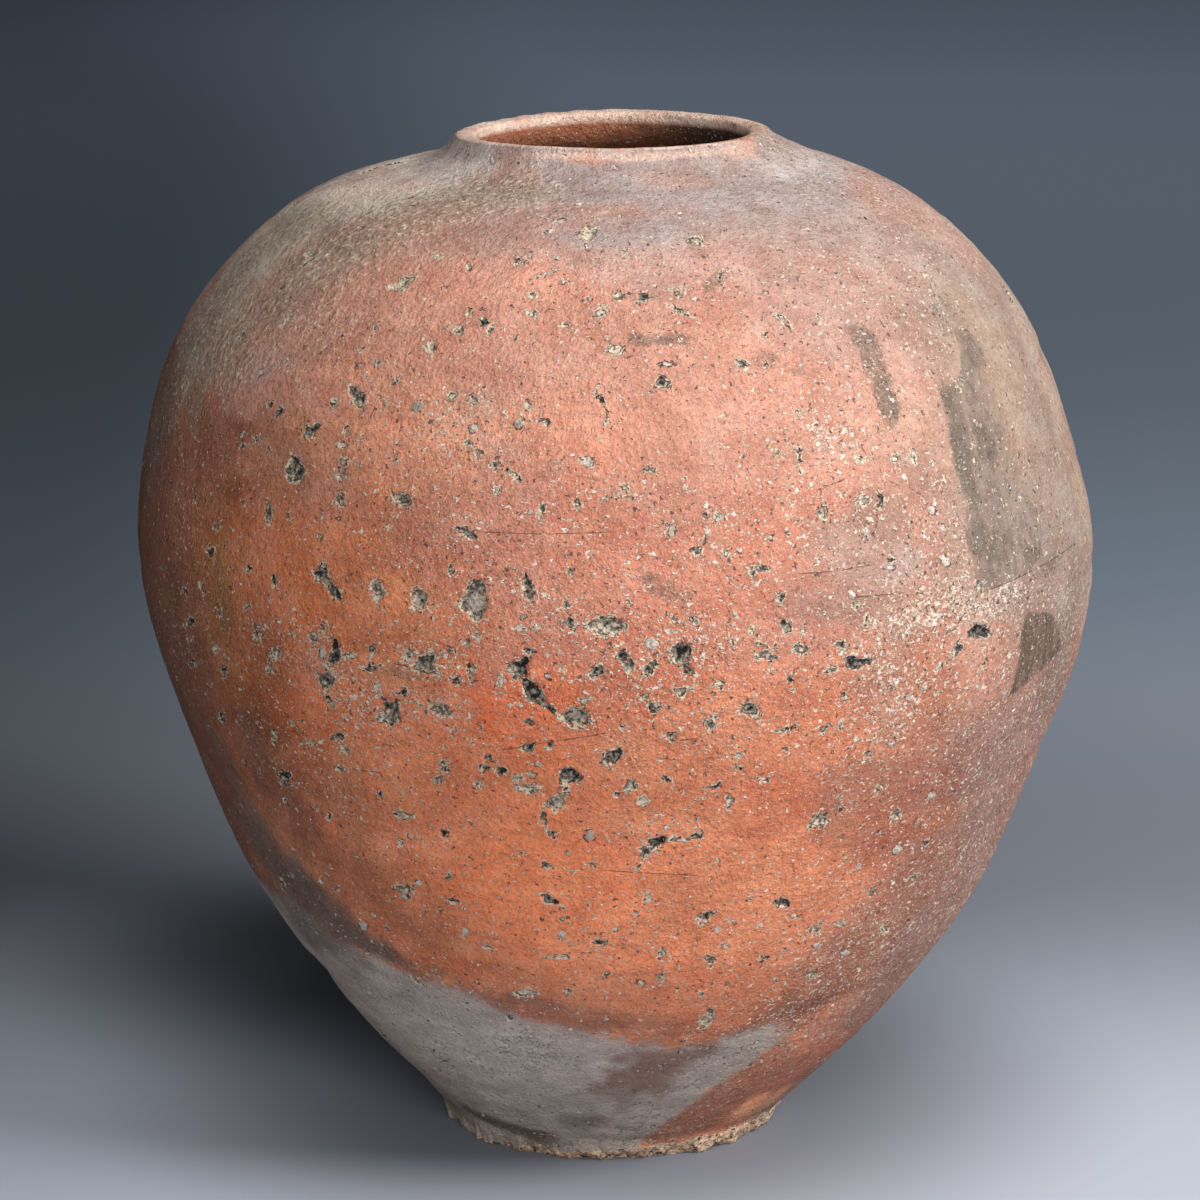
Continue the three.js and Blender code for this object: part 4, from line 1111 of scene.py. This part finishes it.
def grey_heel(g):
    """The reduced heel, streaky, with a smudged edge."""
    ragged = g.plus(g.plus(g.swing(g.lumps, 12), g.swing(g.clouds, 14)), g.swing(g.grain, 6))
    edge = g.plus(g.field("taupe_zone"), ragged)
    streaks = g.noise(g.scaled(g.place, 0.16, 0.16, 0.4), 3.2, 4.0, 0.65)
    heel = g.colour_field("heel")
    tones = ((streaks, 0.3, 0.84, 1.14), (g.clouds, 0.3, 0.84, 1.12), (g.grain, 0.25, 0.80, 1.18))
    for value, low, dark, pale in tones:
        heel = g.mix(1.0, heel, g.step(value, low, 1 - low, dark, pale), "MULTIPLY")
    smudge = g.times(g.step(edge, 9.0, 0.0), g.step(streaks, 0.60, 0.44))
    g.paint(g.times(smudge, 0.45), (0.17, 0.09, 0.06))
    g.paint(g.step(edge, 4.0, -5.0), heel)
    cracks = g.near(g.noise(g.bent, 9.0, 4.0, 0.75), 0.5, 0.02)
    cracks = g.times(g.times(cracks, g.step(edge, -3.0, -12.0)), g.step(g.clouds, 0.50, 0.66))
    g.paint(g.times(cracks, 0.5), (0.06, 0.048, 0.04))
    g.lift(cracks, -0.5)


def ash_shadow(g):
    """The dull patch on the right, fading away from its firm left edge, and the brown wedge."""
    streaks = g.noise(g.scaled(g.place, 1.2, 1.2, 0.4), 5.0, 4.0, 0.65)
    on = g.step(g.plus(g.field("ash_patch"), g.swing(g.lumps, 4)), 0.8, -0.8)
    on = g.times(on, g.field("ash_depth"))
    g.paint(g.times(on, 0.9), g.mix(g.step(streaks, 0.35, 0.65), (0.19, 0.14, 0.11), (0.31, 0.225, 0.175)))
    wedge = g.step(g.plus(g.field("ash_wedge"), g.swing(g.lumps, 4)), 1.2, -1.2)
    g.paint(g.times(wedge, 0.9), g.mix(g.step(streaks, 0.4, 0.68), (0.09, 0.062, 0.044), (0.21, 0.14, 0.105)))


def dark_ash(g):
    """Grainy dark smears, and faint ones on the pale streaks of the ash."""
    patchy = g.noise(g.scaled(g.bent, 1.0, 1.0, 0.6), 3.6, 4.0, 0.7)
    on = g.step(g.plus(g.field("soot"), g.swing(patchy, 1.3)), 0.25, 1.0)
    g.paint(g.times(on, 0.85), g.mix(g.step(g.grain, 0.35, 0.65), (0.10, 0.076, 0.058), (0.19, 0.145, 0.11)))
    g.lift(on, -0.15)


def ash_crust(g):
    """Pale and olive grainy ash on the shoulder."""
    grainy = g.noise(g.shaken(g.bent, 2.2, 1.8), 2.5, 4.0, 0.72)
    field = g.plus(g.field("ash_dust"), g.plus(g.swing(g.lumps, 0.5), g.swing(g.clouds, 0.7)))
    thick = g.step(field, 0.25, 0.85)
    g.paint(g.times(thick, 0.35), (0.50, 0.38, 0.26))
    g.paint(g.times(g.times(thick, g.step(grainy, 0.50, 0.38)), 0.75), (0.25, 0.17, 0.11))
    pale = g.times(g.step(field, 0.1, 0.7), g.step(grainy, 0.56, 0.63))
    g.paint(g.times(pale, 0.9), g.mix(g.step(g.lumps, 0.4, 0.6), (0.70, 0.56, 0.40), (0.88, 0.75, 0.58)))
    g.lift(g.times(thick, grainy), 2.2)


def sandy_foot(g):
    """Sand and crumbs that stuck to the foot."""
    on = g.step(g.plus(g.field("sand"), g.swing(g.lumps, 1.2)), 0.35, 0.6)
    sand = g.mix(g.step(g.noise(g.bent, 1.8, 3.0, 0.6), 0.38, 0.62), (0.44, 0.25, 0.14), (0.86, 0.62, 0.45))
    g.paint(on, sand)
    # Painted shade in the gaps between the crumbs
    painted_shade_gaps = g.times(on, g.step(g.noise(g.bent, 2.6, 3.0, 0.7), 0.44, 0.37))
    g.paint(painted_shade_gaps, (0.06, 0.04, 0.028))
    g.lift(g.times(on, g.lumps), 1.5)
    g.lift(painted_shade_gaps, -0.6)


def grains(g):
    """Feldspar from dust to grit, crushed into uneven crumbs, and dark pores."""
    share = g.field("grit")
    crushed = g.noise(g.scaled(g.bent, 1.0, 1.0, 1.25), 1.2, 2.0, 0.6)
    dust = g.step(g.plus(crushed, g.times(share, 0.11)), 0.695, 0.73)
    broken = g.noise(g.scaled(g.bent, 0.8, 0.8, 1.1), 2.1, 2.0, 0.65)
    crumbs = g.step(g.plus(broken, g.times(share, 0.12)), 0.70, 0.735)
    medium, tone = g.specks(g.shaken(g.bent, 2.0, 2.2), 5.0, 0.3, 0.95, g.times(share, 0.75))
    cream = g.mix(g.step(g.noise(g.place, 3.5, 2.0), 0.35, 0.65), (0.66, 0.45, 0.33), (0.88, 0.76, 0.62))
    for on, strength, tall in ((dust, 0.9, 0.3), (crumbs, 0.95, 0.6)):
        g.paint(g.times(on, strength), cream)
        g.lift(on, tall)
    g.paint(g.times(medium, 0.85), g.mix(tone, (0.46, 0.34, 0.27), (0.80, 0.68, 0.56)))
    g.lift(medium, 0.4)
    pits = g.noise(g.shaken(g.place, 2.0, 2.0), 1.9, 2.0, 0.6)
    pores = g.step(g.plus(pits, g.times(share, 0.05)), 0.685, 0.72)
    g.paint(g.times(pores, 0.85), (0.09, 0.06, 0.05))
    g.lift(pores, -0.6)


def stones(g):
    """Stones picked in the photograph, with a gap of painted shade round part of them."""
    edge = g.plus(g.field("stone"), g.swing(g.noise(g.place, 1.7, 1.5, 0.5), 3.0))
    on = g.step(edge, 0.1, -0.3)
    gap = g.times(g.near(edge, 0.3, 0.4), g.step(g.noise(g.place, 3.0, 2.0), 0.50, 0.60))
    stone = g.mix(g.field("stone_tone"), (0.12, 0.11, 0.10), (0.78, 0.70, 0.60))
    # Painted shade in the gap between stone and clay
    g.paint(g.times(gap, 0.9), (0.06, 0.045, 0.04))
    g.paint(on, g.mix(g.step(g.noise(g.place, 1.8, 3.0), 0.40, 0.66), stone, (0.44, 0.33, 0.25)))
    g.lift(on, 0.25)
    g.lift(gap, -0.35)


def drag_lines(g):
    """Thin dark lines that a dragged stone left."""
    width = g.step(g.noise(g.place, 3.0, 2.0), 0.35, 0.65, 0.1, 0.55)
    near = g.step(g.math("ABSOLUTE", g.plus(g.field("line"), g.swing(g.grain, 0.7))), width, 0.0)
    mark = g.times(near, g.field("line_on"))
    g.paint(g.times(mark, 0.75), (0.08, 0.05, 0.04))
    g.lift(mark, -0.3)


def torn_hollows(g):
    """Hollows torn out of the clay: cream rims, grey and tan inside, with painted shade as dark broken edges
    and black deep inside.
    """
    spikes = g.near(g.noise(g.bent, 7.0, 1.0, 0.5), 0.5, 0.035)
    tear = g.noise(g.bent, 1.9, 1.0, 0.5)
    torn = g.plus(g.plus(g.field("hollow"), g.swing(tear, 3.6)), g.times(spikes, -1.4))
    torn = g.plus(torn, 0.55)
    on = g.step(torn, 0.12, -0.18)
    rim = g.times(g.near(torn, 0.5, 0.85), g.step(g.noise(g.place, 2.4, 2.0, 0.6), 0.45, 0.52))
    edge = g.times(g.near(torn, -0.2, 0.5), g.step(g.noise(g.place, 3.1, 2.0, 0.6), 0.44, 0.52))
    crumbs = g.noise(g.bent, 2.0, 1.5, 0.5)
    # Painted shade: the deeper in a hollow, the lower its tone, so the middle turns black
    depth = g.step(torn, -0.5, -1.6, 0.10, 0.0)
    tone = g.plus(g.plus(crumbs, depth), g.times(g.math("SUBTRACT", g.field("hollow_tone_and_shade"), 0.35), 0.40))
    inside = g.mix(g.step(tone, 0.36, 0.45), (0.022, 0.019, 0.017), (0.19, 0.155, 0.13))
    inside = g.mix(g.step(tone, 0.49, 0.57), inside, (0.42, 0.34, 0.26))
    inside = g.mix(g.step(tone, 0.62, 0.70), inside, (0.72, 0.60, 0.44))
    g.paint(g.times(rim, 0.85), (0.76, 0.64, 0.47))
    g.paint(on, inside)
    # Painted shade along the broken edges of the hollows
    g.paint(g.times(edge, 0.85), (0.04, 0.032, 0.03))
    g.lift(g.times(on, g.step(tone, 0.40, 0.66, 1.0, 0.4)), -1.0)
    g.lift(edge, -0.3)
    g.lift(rim, 0.35)


LAYERS = [
    body, grey_heel, ash_shadow, ash_crust, dark_ash, sandy_foot, grains, drag_lines, torn_hollows, stones,
]


def jar_clay(name):
    """Gritty iron-red clay with ash, torn hollows and stones, driven by the fields on the mesh."""
    material = bpy.data.materials.new(name)
    material.use_nodes = True
    g = Clay(material)
    for layer in LAYERS:
        layer(g)
    bump = g.node("ShaderNodeBump", {"Height": g.relief, "Distance": 0.001, "Strength": 1.0})
    surface = g.nodes["Principled BSDF"]
    surface.inputs["Specular IOR Level"].default_value = 0.25
    g.put(surface.inputs["Base Color"], g.colour)
    g.put(surface.inputs["Roughness"], g.step(g.grain, 0.2, 0.8, 0.72, 0.92))
    g.put(surface.inputs["Normal"], bump.outputs["Normal"])
    return material


materials = {slot: jar_clay(slot) for slot in ("body_clay", "ash_clay", "foot_clay")}


def wall_piece(name, low, high, slot):
    """A wall stage from one seam to the next."""
    outer_rings = [outer_ring(row) for row in range(low, high + 1)]
    inner_rings = [inner_ring(row) for row in range(high, low - 1, -INNER_ROW_EVERY)]
    count = len(outer_rings)
    total = count + len(inner_rings)
    return build(name, outer_rings + inner_rings, [0, count - 1, count, total - 1], True, slot)


# Floor slab: rings on each face, and their radii from the middle to the foot's edge or the wall
FLOOR_RINGS = 24
MIDDLE_RADIUS = 3
UNDERSIDE_RADIUS = 70
FLAT_FOOT_RADIUS = 72
TOP_RADIUS = 64
SEAT_SHARE = 0.82

# Inner coil: its top, and how far in its toe reaches as a share of the corner's radius
INNER_COIL_TOP = 44
TOE_SHARE = 0.65

# Worn lip from its outer edge in: radius, and how far it lies below the crest
CREST_STEPS = [(67.3, 0.3), (66.0, 0.0), (64.5, 0.15), (62.8, 0.3), (61.2, 0.6), (60.2, 1.2)]


def floor_ring(size, row):
    """A ring of the floor slab's underside, at the first row, or of its top."""
    lumps = 0.25 * np.sin(size / 5 + 1.5 * turn) + 0.1 * np.sin(size * 0.9 + 3 * turn)
    if row:
        return ring(points_round(centre[row], size, FLOOR_LEVEL + lumps))
    dents = np.maximum(0.25 - lumps, 0) * smoothstep(FLAT_FOOT_RADIUS - size, 0, 6)
    return ring(points_round(centre[row], size, dents), colour=SAND)


def base_slab():
    """Floor slab: its underside, its edge, the seat of the wall and its top."""
    top_row = seam_rows[0]
    under = [floor_ring(size, 0) for size in np.linspace(MIDDLE_RADIUS, UNDERSIDE_RADIUS, FLOOR_RINGS)]
    edge = [outer_ring(row) for row in range(top_row + 1)]
    seat = [ring(outer[top_row] * [1, 1, 0] * SEAT_SHARE + [0, 0, FLOOR_LEVEL])]
    over = [floor_ring(size, top_row) for size in np.linspace(TOP_RADIUS, MIDDLE_RADIUS, FLOOR_RINGS)]
    sharp = [len(under), len(under) + top_row]
    return build("base_slab_skin", under + edge + seat + over, sharp, False, "foot_clay")


def inner_coil():
    """Coil pressed into the angle of floor and wall, with the marks of fingertips."""
    wall_rows = range(seam_rows[0], seam_rows[1], INNER_ROW_EVERY)
    against = [inner_ring(row) for row in wall_rows if height[row] < INNER_COIL_TOP]
    corner, top = against[0][0], against[-1][0]
    toe = corner * [TOE_SHARE, TOE_SHARE, 1]
    dents = 0.35 * np.sin(26 * turn) + 0.25 * np.sin(11 * turn + 2)
    face = []
    for share in np.linspace(0, 1, 14)[1:-1]:
        mid = corner * 0.5 + (toe + top) * 0.25
        curve = (1 - share) ** 2 * top + 2 * share * (1 - share) * mid + share**2 * toe
        swell = 1 - (dents * math.sin(math.pi * share) / 60)[:, None] * [1, 1, 0]
        face.append(ring(curve * swell))
    rings = [ring(toe)] + against + face
    return build("inner_coil_skin", rings, [0, 1, len(against)], True, "body_clay")


def neck_and_lip():
    """Neck and low lip, rounded over a worn flat top into the throat."""
    low, high = seam_rows[-2], seam_rows[-1]
    outer_rings = [outer_ring(row) for row in range(low, high + 1)]
    fields = {name: field[high] for name, field in FIELDS.items()}
    fields["grit"] = fields["grit"] * 0.5
    blush = bell(wrapped(turn + 0.05), 0.16) + bell(wrapped(turn - 1.15), 0.3)
    blush = np.clip(blush * smoothstep(soft_noise(53, 12, 20)[high], -0.6, 0.6), 0, 1)[:, None]
    crest_colour = np.array(CREST) * (1 - blush) + np.array(CREST_RED) * blush
    crest = []
    top = JAR_HEIGHT - 0.1 - lip_drop
    wear = 0.3 * soft_noise(51, 14, 14)[high]
    for size, sink in CREST_STEPS:
        level = np.minimum(top - sink + wear * 0.4, JAR_HEIGHT)
        crest.append(ring(points_round(centre[high], size + wear, level), fields, crest_colour))
    seam = inner_ring(low)
    throat = []
    waves = soft_noise(52, 30, 10)
    for share in np.linspace(0, 1, 16)[:-1]:
        reach = THROAT_RADIUS + 0.35 * waves[int(share * 60)]
        start = points_round(centre[high], reach, top - 1.6)
        mid = start * [1, 1, 0] + [0, 0, THROAT_BEND]
        curve = (1 - share) ** 2 * start + 2 * share * (1 - share) * mid + share**2 * seam[0]
        throat.append(ring(curve, colour=inner_clay_and_shade if share > 0.12 else crest_colour))
    rings = outer_rings + crest + throat + [seam]
    return build("neck_and_lip_skin", rings, [0, len(rings) - 1], True, "ash_clay")


STAGES = {
    "heel_wall": "body_clay", "lower_wall": "body_clay", "belly_wall": "body_clay",
    "haunch_wall": "body_clay", "shoulder_wall": "body_clay", "crown_wall": "ash_clay",
}
pieces = {"base_slab": base_slab(), "inner_coil": inner_coil(), "neck_and_lip": neck_and_lip()}
for (name, slot), low, high in zip(STAGES.items(), seam_rows, seam_rows[1:]):
    pieces[name] = wall_piece(name + "_skin", low, high, slot)
for name, piece in pieces.items():
    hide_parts(name)
    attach(piece, "root")


def make_camera():
    """The camera that took the photograph, as fitted."""
    data = bpy.data.cameras.new("photo_camera")
    data.lens = FOCAL_PIXELS * SENSOR_WIDTH / PHOTO_SIZE
    data.sensor_width = SENSOR_WIDTH
    camera = bpy.data.objects.new("photo_camera", data)
    camera.location = CAMERA_PLACE * METRES
    camera.rotation_euler = (math.pi / 2 - CAMERA_PITCH, 0, 0)
    bpy.context.scene.collection.objects.link(camera)
    bpy.context.scene.camera = camera


# Painted shadows and a painted pool of light on the floor, in metres: middle, reach of the full tone, edge,
# and tone
FLOOR_PAINTED_LIGHT_AND_SHADE = [
    (0.0, 0.03, 0.08, 0.26, 0.4), (-0.14, 0.20, 0.04, 0.2, 0.3), (-0.33, 0.06, 0.05, 0.32, 1.95),
]


def make_floor():
    """A paper floor, large enough to fill the view, with a graded tone of painted light and shade."""
    half = 12.0
    corners = [(-half, -half, 0), (half, -half, 0), (half, half, 0), (-half, half, 0)]
    mesh = bpy.data.meshes.new("floor")
    mesh.from_pydata(corners, [], [(0, 1, 2, 3)])
    floor = bpy.data.objects.new("floor", mesh)
    bpy.context.scene.collection.objects.link(floor)
    material = bpy.data.materials.new("pale_floor")
    material.use_nodes = True
    g = Graph(material)
    surface = g.nodes["Principled BSDF"]
    place = g.node("ShaderNodeSeparateXYZ", {0: g.node("ShaderNodeTexCoord", {}).outputs["Object"]})
    x, y = place.outputs[0], place.outputs[1]
    # Painted shade: paler in front, darker beside and behind the jar and on the left, paler again far back
    tone = g.plus(g.step(y, -0.05, 0.35, 0.63, 0.29), g.step(y, 0.4, 0.8, 0.0, 0.10))
    tone = g.plus(tone, g.step(y, 1.5, 4.6, 0.0, 0.70))
    tone = g.times(tone, g.step(g.times(x, g.step(y, 2.0, 5.0, 1.0, 0.45)), -0.45, 0.05, 0.42, 1.0))
    for middle_x, middle_y, near, far, there in FLOOR_PAINTED_LIGHT_AND_SHADE:
        away_x, away_y = g.math("SUBTRACT", x, middle_x), g.math("SUBTRACT", y, middle_y)
        reach = g.math("SQRT", g.plus(g.times(away_x, away_x), g.times(away_y, away_y)))
        tone = g.times(tone, g.step(reach, near, far, there, 1.0))
    paper = g.mix(g.step(y, 0.2, 1.2), (0.82, 0.87, 1.0), (0.68, 0.82, 1.0))
    g.put(surface.inputs["Base Color"], g.mix(tone, (0, 0, 0), paper))
    surface.inputs["Roughness"].default_value = 0.9
    surface.inputs["Specular IOR Level"].default_value = 0.1
    floor.data.materials.append(material)


def make_lamp(name, azimuth, elevation, distance, size, power):
    """A soft lamp aimed at the jar. The azimuth is counted from the camera's side to the right."""
    data = bpy.data.lights.new(name, "AREA")
    data.shape = "DISK"
    data.size = size
    data.energy = power
    lamp = bpy.data.objects.new(name, data)
    a, e = math.radians(azimuth), math.radians(elevation)
    aim = np.array([0, 0, 0.25])
    away = np.array([math.sin(a) * math.cos(e), -math.cos(a) * math.cos(e), math.sin(e)])
    lamp.location = aim + away * distance
    lamp.rotation_euler = (math.pi / 2 - e, 0, a)
    bpy.context.scene.collection.objects.link(lamp)


def make_world():
    """Dim light of the room, a little cool."""
    world = bpy.data.worlds.new("studio")
    bpy.context.scene.world = world
    world.use_nodes = True
    background = world.node_tree.nodes["Background"]
    background.inputs["Color"].default_value = (0.66, 0.73, 0.84, 1)
    background.inputs["Strength"].default_value = 0.076


# Name, azimuth and elevation in degrees, distance and size in metres, and power
LAMPS = [("key", 62, 32, 2.4, 1.0, 60), ("fill", 0, 20, 3.0, 1.6, 42), ("top", 10, 72, 2.4, 1.5, 13)]

make_camera()
make_floor()
for lamp in LAMPS:
    make_lamp(*lamp)
make_world()
bpy.context.scene.view_settings.view_transform = "Standard"
